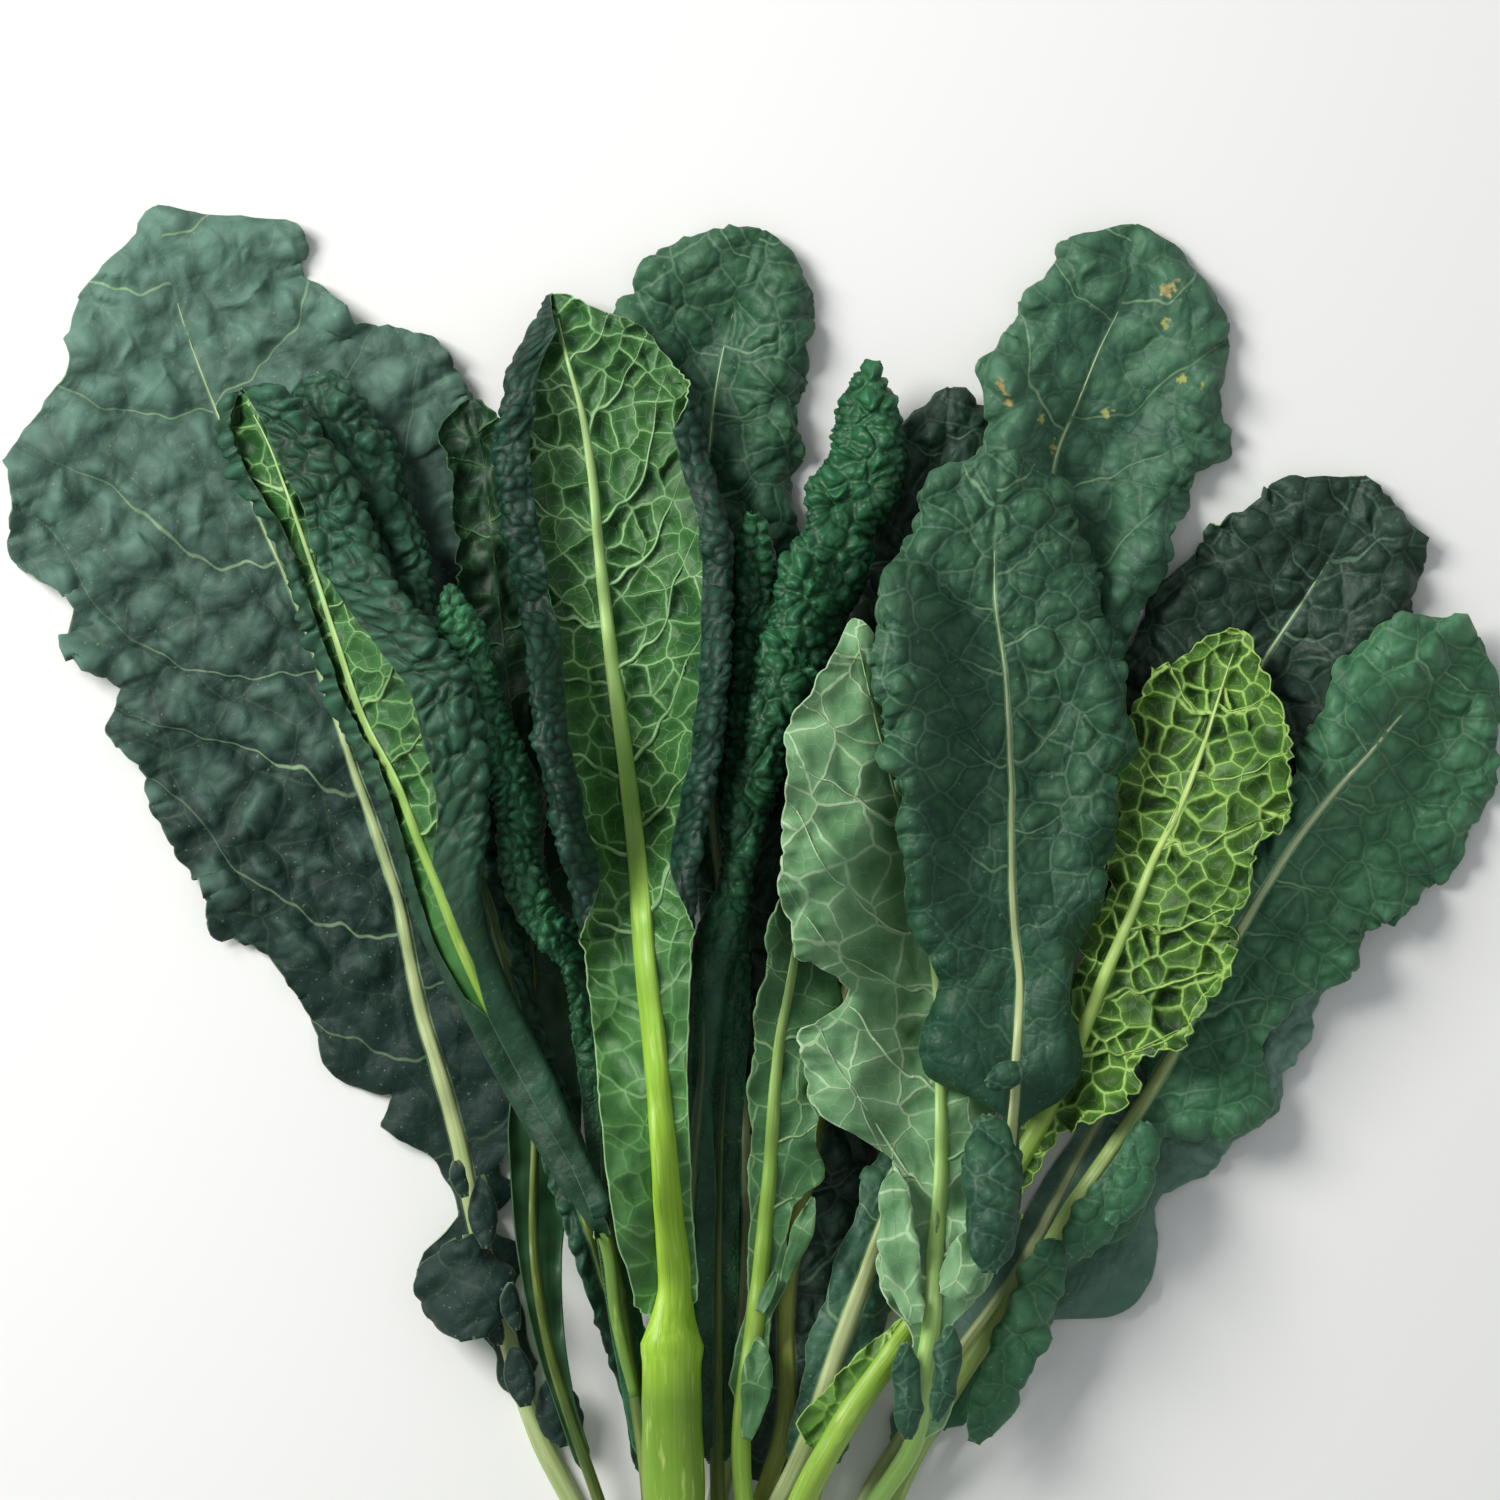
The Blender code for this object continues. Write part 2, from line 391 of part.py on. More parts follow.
def relief(x, y, phase):
    """The puckers of a blade, as a height over its plan."""
    turn = 2 * math.pi / PUCKER_LENGTH
    waves = np.sin(turn * x + phase) * np.sin(turn * PUCKER_CROWDING * y + CROSS_SHIFT * phase)
    slanting = np.sin(turn * SLANT_CROWDING * (x + y) + SLANT_SHIFT * phase)
    return PUCKER_HEIGHT * (waves + SLANT_SHARE * slanting)


def blade_surfaces(leaf, rib, phase):
    """The upper and lower sheet of a blade, as rows by columns of points, with its rows' distances along
    the rib, the row where its slot closes and the column on the slot's left side."""
    left, right = rib.widths(leaf.left), rib.widths(leaf.right)
    rows = blade_rows(left, right, rib.length)
    close = int(np.argmax(rows > rib.length - TIP_LENGTH - ROUNDING))
    places = read_curve(rib.points, rows)
    normals = rib.normals(rows)
    stalk = stalk_widths(leaf, rib, rows)
    bow = bow_height(leaf, rib, rows)
    least, most = FLAT_COLUMNS
    upper, lower = [], []
    for index, station in enumerate(rows):
        part = (station - rows[0]) / (rows[-1] - rows[0])
        slot = SLOT_END if index >= close else stalk[index] / 2 + SLOT_CLEARANCE
        sides = []
        for widths, roll, hand in ((left, leaf.roll_left, -1), (right, leaf.roll_right, 1)):
            half = max(margin_width(widths, rib, station, hand + phase), slot + WING)
            columns = min(max(round(widths[:, 1].max() / COLUMN_SPACING), least), most)
            offsets, heights, angles = roll_section(roll, part, half, slot, columns)
            share = np.abs(offsets) / half
            heights = heights - leaf.face * ARCH * share ** 2 * min(half / GROWN_HALF, 1.0)
            if abs(roll.angle) < QUARTER:
                ripple = math.sin(2 * math.pi * station / RUFFLE_LENGTH + hand + phase)
                heights = heights + RUFFLE_HEIGHT * ripple * share ** 3 * min(half / GROWN_HALF, 1.0)
            sides.append((hand * offsets, heights, -hand * np.sin(angles), np.cos(angles)))
        side_left, side_right = sides
        slot_column = len(side_left[0]) - 1
        across, heights, lean, rise = [np.concatenate([a[::-1], b]) for a, b in zip(side_left, side_right)]
        flat = places[index] + across[:, None] * normals[index]
        heights = heights + relief(flat[:, 0], flat[:, 1], phase) + bow[index]
        offset = BLADE_THICKNESS / 2
        sideways = offset * lean[:, None] * normals[index]
        upper.append(np.column_stack([flat + sideways, heights + offset * rise]))
        lower.append(np.column_stack([flat - sideways, heights - offset * rise]))
    return np.array(upper), np.array(lower), rows, close, slot_column


def stalk_widths(leaf, rib, stations):
    """A stalk's width: even down to the blade's base, then tapering along the midrib."""
    base = max(rib.widths(leaf.left)[0, 0], rib.widths(leaf.right)[0, 0]) - BASE_DROP
    cut, foot, end = leaf.widths
    low, high = base * BARE_SHARE, base + FOOT_SHARE * (rib.length - base)
    waist = cut if cut > MAIN_STEM else (cut + foot) / 2
    return np.interp(stations, [0.0, low, high, rib.length], [cut, waist, foot, end])


def stalk_rings(leaf, rib, rows, close, phase):
    """Rings of points along a stalk, from its cut end to the rib's end just short of the slot's."""
    bare = np.linspace(0.0, rows[0], max(2, round(rows[0] / STALK_SPACING) + 1))
    stations = np.concatenate([bare[:-1], rows[:close + 1]])
    stations[-1] -= RIB_STOP
    places = read_curve(rib.points, stations)
    normals = rib.normals(stations)
    bow = bow_height(leaf, rib, stations)
    rings = []
    for index, width in enumerate(stalk_widths(leaf, rib, stations)):
        depth = STALK_DEPTH * width
        spot = relief(places[index, 0], places[index, 1], phase) if stations[index] >= rows[0] else 0.0
        middle = bow[index] + spot - leaf.face * RIB_OFFSET * depth
        ring = []
        for side in range(STALK_SIDES):
            turn = math.radians(FIRST_CORNER + 360 * side / STALK_SIDES)
            across = width / 2 * math.cos(turn) / CORNER_ACROSS
            ring.append((*(places[index] + across * normals[index]), middle + depth / 2 * math.sin(turn)))
        rings.append(ring)
    return np.array(rings)


class HeightField:
    """The height of what already lies on the surface, over a square grid of cells."""

    def __init__(self):
        self.count = int(2 * FIELD_HALF / CELL)
        self.top = np.zeros((self.count, self.count))

    def cells(self, points):
        return np.clip(((points[:, :2] + FIELD_HALF) / CELL).astype(int), 0, self.count - 1)

    def extreme(self, points, highest):
        """The highest or lowest of the points in each cell, spread to the cells around it."""
        worst = -math.inf if highest else math.inf
        found = np.full((self.count, self.count), worst)
        keep = np.maximum if highest else np.minimum
        spots = self.cells(points)
        keep.at(found, (spots[:, 0], spots[:, 1]), points[:, 2])
        return spread(found, 1, keep)

    def lift(self, blade, stalk):
        """How far a leaf is raised, over the plan, to clear all that lies below it."""
        need = np.full((self.count, self.count), -math.inf)
        for points, gap, floor_gap in ((blade, BLADE_GAP, FLOOR_GAP), (stalk, STALK_GAP, 0.0)):
            low = self.extreme(points, False)
            clearance = np.where(self.top > 0.0, gap, floor_gap)
            need = np.maximum(need, np.where(np.isinf(low), -math.inf, self.top + clearance - low))
        need = spread(need, STIFFNESS, np.maximum)
        while np.isinf(need).any():
            need = np.where(np.isinf(need), spread(need, STIFFNESS, np.maximum), need)
        for _ in range(2):
            need = blur(need, STIFFNESS // 2)
        return need

    def read(self, field, points):
        """A field's value at points, between the middles of its cells."""
        place = np.clip((points[..., :2] + FIELD_HALF) / CELL - 0.5, 0, self.count - 1 - ROUNDING)
        cell = place.astype(int)
        f = place - cell
        x, y = cell[..., 0], cell[..., 1]
        low = field[x, y] * (1 - f[..., 0]) + field[x + 1, y] * f[..., 0]
        high = field[x, y + 1] * (1 - f[..., 0]) + field[x + 1, y + 1] * f[..., 0]
        return low * (1 - f[..., 1]) + high * f[..., 1]


def spread(field, reach, keep):
    """Each cell takes the extreme of the square of cells round it."""
    for axis in (0, 1):
        padded = np.pad(field, [(reach, reach) if side == axis else (0, 0) for side in (0, 1)], "edge")
        count = field.shape[axis]
        parts = [np.take(padded, range(step, step + count), axis=axis) for step in range(2 * reach + 1)]
        field = keep.reduce(parts)
    return field


def blur(field, reach):
    """Each cell takes the mean of the square of cells round it."""
    for axis in (0, 1):
        padded = np.pad(field, [(reach, reach) if side == axis else (0, 0) for side in (0, 1)], "edge")
        count = field.shape[axis]
        field = sum(np.take(padded, range(step, step + count), axis=axis) for step in range(2 * reach + 1))
        field = field / (2 * reach + 1)
    return field


def sample_sheet(rows):
    """Points all over a sheet that is given as rows by columns of points."""
    f = np.linspace(0.0, 1.0, SAMPLES)
    u, v = [grid[..., None] for grid in np.meshgrid(f, f, indexing="ij")]
    a, b, c, d = [part[:, :, None, None] for part in (rows[:-1, :-1], rows[1:, :-1],
                                                      rows[:-1, 1:], rows[1:, 1:])]
    points = a * (1 - u) * (1 - v) + b * u * (1 - v) + c * (1 - u) * v + d * u * v
    return points.reshape(-1, 3)


def closed_rings(rings):
    return np.concatenate([rings, rings[:, :1]], axis=1)


def blade_mesh(upper, lower, close, slot_column):
    """Triangles of a closed blade: both sheets split alike, and a rim round every open edge."""
    rows, columns = upper.shape[:2]
    points = np.concatenate([upper.reshape(-1, 3), lower.reshape(-1, 3)])
    under = rows * columns
    top = []
    for row in range(rows - 1):
        for column in range(columns - 1):
            if column == slot_column and row < close:
                continue
            a = row * columns + column
            b, c, d = a + 1, a + columns + 1, a + columns
            top += [(a, b, c), (a, c, d)]
    edges = {}
    for triangle in top:
        for start, end in zip(triangle, triangle[1:] + triangle[:1]):
            edges[(start, end)] = True
    faces = top + [(c + under, b + under, a + under) for a, b, c in top]
    for start, end in edges:
        if (end, start) not in edges:
            faces += [(end, start, start + under), (end, start + under, end + under)]
    return points, faces


def stalk_mesh(rings):
    """Triangles of a closed stalk."""
    count, sides = rings.shape[:2]
    faces = []
    for ring in range(count - 1):
        for side in range(sides):
            a = ring * sides + side
            b = ring * sides + (side + 1) % sides
            faces += [(a, a + sides, b), (b, a + sides, b + sides)]
    last = (count - 1) * sides
    for side in range(1, sides - 1):
        faces += [(0, side, side + 1), (last, last + side + 1, last + side)]
    return rings.reshape(-1, 3), faces


def stalk_finish(leaf):
    if leaf.name in LIME_STALKED:
        return "lime_stalk"
    return "olive_stalk" if leaf.name in OLIVE_STALKED else "pale_stalk"


def make_finish(name):
    colour, roughness, metallic = FINISHES[name]
    finish = bpy.data.materials.new(name)
    finish.use_nodes = True
    shader = finish.node_tree.nodes["Principled BSDF"]
    shader.inputs["Base Color"].default_value = (*colour, 1.0)
    shader.inputs["Roughness"].default_value = roughness
    shader.inputs["Metallic"].default_value = metallic
    finish.diffuse_color = (*colour, 1.0)
    return finish


def make_object(name, points, faces, finish):
    mesh = bpy.data.meshes.new(name)
    mesh.from_pydata([tuple(point) for point in points * METRES], [], faces)
    work = bmesh.new()
    work.from_mesh(mesh)
    bmesh.ops.recalc_face_normals(work, faces=work.faces)
    work.to_mesh(mesh)
    work.free()
    mesh.shade_smooth()
    mesh.materials.append(finish)
    bpy.context.scene.collection.objects.link(bpy.data.objects.new(name, mesh))


def lay_leaves():
    """Every leaf's blade and stalk where it comes to lie, as (name, points, faces, finish)."""
    field = HeightField()
    solids = []
    for number, leaf in enumerate(LEAVES):
        rib = Rib(leaf)
        phase = LEAF_SHIFT * number
        upper, lower, rows, close, slot_column = blade_surfaces(leaf, rib, phase)
        rings = stalk_rings(leaf, rib, rows, close, phase)
        loop = closed_rings(rings)
        lift = field.lift(np.concatenate([sample_sheet(upper), sample_sheet(lower)]), sample_sheet(loop))
        lowest_of_all = field.read(field.top, rings) == 0.0
        for sheet in (upper, lower, rings):
            sheet[..., 2] += field.read(lift, sheet)
        settled = np.maximum(rings[..., 2] - SETTLE, 0.0)
        rings[..., 2] = np.where(lowest_of_all & (rings[..., 2] < 2 * SETTLE), settled, rings[..., 2])
        for points in (sample_sheet(upper), sample_sheet(lower), sample_sheet(closed_rings(rings))):
            field.top = np.maximum(field.top, field.extreme(points, True))
        solids.append((leaf.name + "_blade", *blade_mesh(upper, lower, close, slot_column), leaf.finish))
        solids.append((leaf.name + "_stalk", *stalk_mesh(rings), stalk_finish(leaf)))
    return solids


def main():
    for thing in list(bpy.data.objects):
        bpy.data.objects.remove(thing, do_unlink=True)
    solids = lay_leaves()
    corners = np.concatenate([points for _, points, _, _ in solids])
    middle = (corners.min(axis=0) + corners.max(axis=0)) / 2
    middle[2] = corners[:, 2].min()
    finishes = {name: make_finish(name) for name in FINISHES}
    for name, points, faces, finish in solids:
        make_object(name, points - middle, faces, finishes[finish])


main()
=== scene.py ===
"""Lacinato kale, a loose bunch of eighteen leaves laid down on a pale surface.

The leaves lie on each other in the order of the sections below, bottom one first. Lengths are in
millimetres until a mesh is made. +X is to the right, +Y from the cut ends to the tips, +Z up.
"""
import math
from collections import namedtuple

import bpy
import numpy as np
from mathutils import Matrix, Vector


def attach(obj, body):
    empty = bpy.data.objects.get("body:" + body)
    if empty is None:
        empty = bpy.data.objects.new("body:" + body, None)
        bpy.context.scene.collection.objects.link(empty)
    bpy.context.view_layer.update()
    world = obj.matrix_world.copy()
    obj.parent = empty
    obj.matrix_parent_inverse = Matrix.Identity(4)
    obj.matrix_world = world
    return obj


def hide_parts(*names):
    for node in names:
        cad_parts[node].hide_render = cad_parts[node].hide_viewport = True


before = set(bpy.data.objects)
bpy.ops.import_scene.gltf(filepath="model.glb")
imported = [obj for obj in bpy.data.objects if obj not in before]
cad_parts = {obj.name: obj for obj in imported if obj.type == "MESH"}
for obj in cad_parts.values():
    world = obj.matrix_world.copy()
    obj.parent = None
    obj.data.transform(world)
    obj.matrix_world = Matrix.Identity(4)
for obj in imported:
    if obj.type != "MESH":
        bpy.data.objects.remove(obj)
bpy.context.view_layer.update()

METRES = 0.001

# The camera, straight above the bunch
# The photograph was taken looking down on leaves laid flat. The image's 1500 pixels span 495 mm at the
# height of the upper leaves, and its middle is at (0, 74.6) in the leaves' own millimetres.
VIEW_MIDDLE = (0.0, 74.58)
VIEW_WIDTH = 495.0
VIEW_PLANE = 25.0             # the height at which the view is that wide
LENS = 150.0
SENSOR = 36.0
STEM_CUT_END = (-23.0, -254.0)
CUT_DEPTH = 0.002             # in metres: corners this close to the stem's lowest are its cut end

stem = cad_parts["front_centre_stalk"]
corners = {tuple(round(part, 6) for part in vertex.co) for vertex in stem.data.vertices}
cut_line = min(corner[1] for corner in corners) + CUT_DEPTH
cut_end = np.mean([corner[:2] for corner in corners if corner[1] < cut_line], axis=0)
shift = np.array([*(cut_end - np.array(STEM_CUT_END) * METRES), 0.0])

lens = bpy.data.cameras.new("camera above the bunch")
lens.lens = LENS
lens.sensor_width = SENSOR
camera = bpy.data.objects.new("camera above the bunch", lens)
camera_height = VIEW_PLANE + VIEW_WIDTH * lens.lens / lens.sensor_width
camera.location = Vector((*VIEW_MIDDLE, camera_height)) * METRES + Vector(shift)
bpy.context.scene.collection.objects.link(camera)
bpy.context.scene.camera = camera


def linear(hex_colour):
    """An sRGB hex colour as linear red, green, blue and alpha."""
    parts = [int(hex_colour[start:start + 2], 16) / 255 for start in (1, 3, 5)]
    return (*[part / 12.92 if part <= 0.04045 else ((part + 0.055) / 1.055) ** 2.4 for part in parts], 1.0)


def add_node(tree, kind, inputs=(), **settings):
    """Adds a node with its settings, and gives each input a value or another node's output."""
    node = tree.nodes.new(kind)
    for name, value in settings.items():
        setattr(node, name, value)
    for socket, value in dict(inputs).items():
        if isinstance(value, bpy.types.NodeSocket):
            tree.links.new(value, node.inputs[socket])
        else:
            node.inputs[socket].default_value = value
    return node


# The surface under the bunch, and the light
# A plain matt pale board with one large soft window of light from the upper left and a weak sky, so
# that the gaps among the leaves stay dark.
BOARD_HALF = 2.0
WINDOW_SIZE = 0.9
WINDOW_POWER = 42.0
WINDOW_PLACE = (-1.25, 0.85, 1.25)
WINDOW_COLOUR = (1.0, 0.985, 0.96)
SKY_STRENGTH = 0.42
SKY_COLOUR = (0.93, 0.97, 1.0, 1.0)

board_mesh = bpy.data.meshes.new("pale board")
board_mesh.from_pydata([(-BOARD_HALF, -BOARD_HALF, 0.0), (BOARD_HALF, -BOARD_HALF, 0.0),
                        (BOARD_HALF, BOARD_HALF, 0.0), (-BOARD_HALF, BOARD_HALF, 0.0)], [], [(0, 1, 2, 3)])
board = bpy.data.objects.new("pale board", board_mesh)
bpy.context.scene.collection.objects.link(board)
# Matt white paint on board: no gloss, and a very slight unevenness from the roller
paint = bpy.data.materials.new("matt white painted board")
paint.use_nodes = True
paint_shader = paint.node_tree.nodes["Principled BSDF"]
paint_shader.inputs["Base Color"].default_value = linear("#EFEFED")
paint_shader.inputs["Roughness"].default_value = 0.9
paint_grain = add_node(paint.node_tree, "ShaderNodeTexNoise", {"Scale": 400.0})
paint_bump = add_node(paint.node_tree, "ShaderNodeBump",
                      {"Strength": 0.05, "Distance": 0.0003, "Height": paint_grain.outputs["Fac"]})
paint.node_tree.links.new(paint_bump.outputs["Normal"], paint_shader.inputs["Normal"])
board_mesh.materials.append(paint)

window = bpy.data.lights.new("soft window", "AREA")
window.shape = "SQUARE"
window.size = WINDOW_SIZE
window.energy = WINDOW_POWER
window.color = WINDOW_COLOUR
window_object = bpy.data.objects.new("soft window", window)
window_object.location = WINDOW_PLACE
window_object.rotation_euler = (-Vector(WINDOW_PLACE)).to_track_quat("-Z", "Y").to_euler()
bpy.context.scene.collection.objects.link(window_object)
sky = bpy.data.worlds.new("weak white sky")
sky.use_nodes = True
sky.node_tree.nodes["Background"].inputs["Color"].default_value = SKY_COLOUR
sky.node_tree.nodes["Background"].inputs["Strength"].default_value = SKY_STRENGTH
bpy.context.scene.world = sky
bpy.context.scene.view_settings.view_transform = "Standard"

# grey_back: a grey-green leaf low on the right, mostly under the others
# Each leaf is one grown blade, blistered between its veins, on a pale fleshy stalk that runs on as the
# midrib. Its functions serve every leaf after it.
# A leaf has a name, the face that is up, how much it arches (its bow), its stalk's widths at the cut end, at
# the blade's foot and at the tip, how its left and right margins roll, and its rib and outline in plan
Leaf = namedtuple("Leaf", "name face bow widths roll_left roll_right rib left right")
# How a margin bends: the angle, its radius, the flap beyond the bend, the shares of the blade's length at
# which it begins to bend, is bent in full, stops being folded to a tube and comes loose again
Roll = namedtuple("Roll", "angle radius flap start full tube loose", defaults=(0.0, math.inf))
# How a blade is veined and blistered: the distance between two lateral veins and how steeply they climb
# on its left and right, the width of a net cell, the height of its blister, the same for the small
# blisters on it, how soft they are, and the distance between two points of the blade's grid
Veins = namedtuple("Veins", "spacing climb cell dome small_cell small_dome soft pitch")
# How the blisters grow along a blade: their share at its base, the shares of the blade's length at which
# they begin to grow and are full, and the share of the leaf's length at which its rib has ended
Puff = namedtuple("Puff", "base start full rib_end", defaults=(1.0,))
FLAT = Roll(0.0, 6.0, 0.0, 0.0, 1.0)
CURL_RADIUS = 14.0
CURL_GROWN = 0.12             # of the blade's length, over which a margin's curl grows to its full angle
UPPER_FACE_UP = 1
UNDERSIDE_UP = -1
BLADE_THICKNESS = 0.9
WRINKLED = Veins(30.0, (0.6, 0.6), 11.0, 2.0, 4.5, 0.4, 0.6, 1.2)
EVEN = Puff(0.35, 0.0, 0.35)


def margin_curl(angle, radius=CURL_RADIUS):
    """A margin that bends down, or up where the angle is positive, along the whole blade."""
    return Roll(angle, radius, 0.0, 0.0, CURL_GROWN)


def rolls_over(roll):
    """Whether a margin is rolled over and not only curled."""
    return abs(roll.angle) > 90


def curve_knots(points):
    """The distance of each point from the first, along the line through them."""
    steps = np.linalg.norm(np.diff(points, axis=0), axis=1)
    return np.concatenate([[0.0], np.cumsum(steps)])


def read_curve(points, distances):
    """A smooth curve through given points, read at distances along it."""
    knots = curve_knots(points)
    slopes = np.gradient(points, knots, axis=0)
    span = np.clip(np.searchsorted(knots, distances, side="right") - 1, 0, len(knots) - 2)
    length = knots[span + 1] - knots[span]
    f = ((distances - knots[span]) / length)[:, None]
    length = length[:, None]
    start = (1 + 2 * f) * (1 - f) ** 2 * points[span] + f * (1 - f) ** 2 * length * slopes[span]
    end = f * f * (3 - 2 * f) * points[span + 1] + f * f * (f - 1) * length * slopes[span + 1]
    return start + end


class Rib:
    """The line of a leaf's stalk and midrib in plan."""

    def __init__(self, leaf):
        self.points = np.array(leaf.rib, float)
        self.length = curve_knots(self.points)[-1]
        self.along = np.arange(0.0, self.length, 1.0)
        self.trace = read_curve(self.points, self.along)

    def normals(self, distances, reach):
        """Unit vectors to the right of the rib, from its direction over a reach to either side."""
        low = np.clip(distances - reach, 0.0, self.length)
        high = np.clip(distances + reach, 0.0, self.length)
        step = read_curve(self.points, high) - read_curve(self.points, low)
        step /= np.linalg.norm(step, axis=1)[:, None]
        return np.stack([step[:, 1], -step[:, 0]], axis=1)

    def widths(self, outline):
        """The distance along the rib, and away from it, of each point of an outline."""
        found = []
        for point in np.array(outline, float):
            away = np.linalg.norm(self.trace - point, axis=1)
            nearest = int(np.argmin(away))
            found.append((self.along[nearest], away[nearest]))
        found.sort()
        return np.array(found)


# An uneven wave is three even ones: each one's share in the height, its length as a share of the whole
# wave's, and how fast it shifts with the seed
WANDER_WAVES = ((0.5, 1.0, 1.0), (0.3, 0.61, 1.7), (0.2, 0.37, 2.9))


def wander(distance, length, seed):
    """An uneven wave of about the given length, between -1 and 1."""
    turn = 2 * math.pi * distance / length
    return sum(share * np.sin(turn / part + shift * seed) for share, part, shift in WANDER_WAVES)


BOW = 6.5                     # how high the middle of a leaf arches between its ends, for a bow of 1
PUCKER_HEIGHT = 1.2
PUCKER_LENGTH = 23.0
PUCKER_CROWDING = 1.13        # how much closer the puckers lie along Y than along X
PUCKER_SHIFT = 1.7            # and how much faster they shift along it from one leaf to the next
PUCKER_LEAST = 0.5            # of the puckers' height, where the blade has no blisters
# The slanting waves among the puckers: height in pucker heights, crowding, lean along Y and shift
SLANTING_WAVES = ((0.6, 0.71, 1.0, 2.3), (0.7, 0.43, -0.7, 3.1))


def bow_height(leaf, rib, distances):
    """The arch of a leaf from its cut end to its tip."""
    return leaf.bow * BOW * np.sin(math.pi * distances / rib.length) ** 2


def relief(x, y, phase, swell):
    """The wide puckers of a blade, as a height over its plan. They are lower where it is smooth."""
    turn = 2 * math.pi / PUCKER_LENGTH
    waves = np.sin(turn * x + phase) * np.sin(turn * PUCKER_CROWDING * y + PUCKER_SHIFT * phase)
    for height, crowding, lean, shift_rate in SLANTING_WAVES:
        waves = waves + height * np.sin(turn * crowding * (x + lean * y) + shift_rate * phase)
    return PUCKER_HEIGHT * waves * (PUCKER_LEAST + (1 - PUCKER_LEAST) * swell)


OUTLINE_ROUNDING = 4.0        # how far to either side an outline's corners are rounded
OUTLINE_SAMPLES = 7
CRINKLED_WIDTH = 15.0         # a half as wide as this is crinkled in full
CRINKLE = 1.4                 # of a margin's waves in and out
CRINKLE_LENGTH = 27.0
CRINKLE_SHIFT = 3             # how much faster they shift from one leaf to the next
TOOTH_HEIGHT = 1.3            # of the small rounded teeth along a margin
TOOTH_LENGTH = 8.0
TOOTH_DRIFT = 0.35            # how unevenly they stand, in tooth lengths
DRIFT_LENGTH = 41.0
TOOTH_BLUNTNESS = 0.6         # the power, below 1, that rounds a tooth
TOOTH_MIDDLE = 0.6            # of a tooth's height, that lies inside the outline
TIP_ROUND = 15.0              # over which a blade's end is rounded off
TIP_BLUNT = 1.004             # a little over 1, so that the last row keeps some width


def margin_width(widths, rib, stations, rough, seed):
    """How far a margin is from the rib: its outline, rounded, crinkled, toothed and closed at the tip."""
    steps = np.linspace(-OUTLINE_ROUNDING, OUTLINE_ROUNDING, OUTLINE_SAMPLES)
    width = np.mean([np.interp(stations + step, widths[:, 0], widths[:, 1], left=0.0)
                     for step in steps], axis=0)
    grown = np.minimum(width / CRINKLED_WIDTH, 1.0) * rough
    crinkle = np.sin(2 * math.pi * stations / CRINKLE_LENGTH + CRINKLE_SHIFT * seed)
    width = width + CRINKLE * crinkle * grown
    drift = TOOTH_DRIFT * TOOTH_LENGTH * wander(stations, DRIFT_LENGTH, seed)
    tooth = np.abs(np.sin(math.pi * (stations + drift) / TOOTH_LENGTH + seed)) ** TOOTH_BLUNTNESS
    width = width + TOOTH_HEIGHT * (tooth - TOOTH_MIDDLE) * grown
    into_tip = np.maximum(stations - (rib.length - TIP_ROUND), 0.0) / TIP_ROUND
    return width * np.sqrt(TIP_BLUNT - into_tip ** 2)


ROLL_CLEARANCE = 0.8          # of flat blade kept between the rib and a rolled margin
ROLL_SHARE = 0.62             # a roll's radius is at most this share of the half's width
LEAST_RADIUS = 0.05
FLAP_CLEARANCE = 2.0          # kept between a flap's end and the rib
FLAP_OVERLAP = 0.6            # of the flap past the end of its roll
FOLD_OVERLAP = 4.0            # how far past the rib a margin reaches where the blade is folded to a tube
FOLD_GROWN = 0.06             # of the blade's length, over which the fold opens
LOOSENING = 0.08              # of the blade's length, over which a roll opens where it comes loose
ROLLED_ANGLE = 1.2            # of the bend, in radians, from where the margin's skin is that of a roll


def rolled_side(roll, part, half, columns):
    """One side of a blade, from the rib to the margin, as rows by columns: the distance along the section,
    the offset from the rib, the height and how far the blade is rolled over."""
    growth = np.clip((part - roll.start) / (roll.full - roll.start), 0.0, 1.0)
    growth = growth ** 2 * (3 - 2 * growth) if rolls_over(roll) else growth
    growth = growth * np.clip((roll.loose - part) / LOOSENING, 0.0, 1.0)
    angle = math.radians(abs(roll.angle)) * growth
    radius = np.clip(ROLL_SHARE * (half - ROLL_CLEARANCE), LEAST_RADIUS, roll.radius)
    flat = half - radius * np.sin(np.minimum(angle, math.pi / 2))
    flap = roll.flap * growth
    room = np.maximum(flat + radius * np.sin(angle) - FLAP_CLEARANCE, 0.0)
    flap = np.where(angle < math.pi / 2, 0.0, np.minimum(flap, room) + FLAP_OVERLAP * (growth > 0))
    folded = np.clip((roll.tube - part) / FOLD_GROWN, 0.0, 1.0)
    flap = flap + folded * (room + FOLD_OVERLAP - flap)
    length = flat + radius * angle + flap
    path = length[:, None] * np.linspace(0.0, 1.0, columns)[None, :]
    flat, radius, angle = flat[:, None], radius[:, None], angle[:, None]
    turned = np.clip((path - flat) / radius, 0.0, angle)
    beyond = np.maximum(path - flat - radius * angle, 0.0)
    offset = np.minimum(path, flat) + radius * np.sin(turned) + beyond * np.cos(angle)
    height = radius * (1 - np.cos(turned)) + beyond * np.sin(angle)
    rolled = np.clip(turned / ROLLED_ANGLE, 0.0, 1.0) if rolls_over(roll) else np.zeros_like(turned)
    return path, offset, math.copysign(1.0, roll.angle) * height, rolled


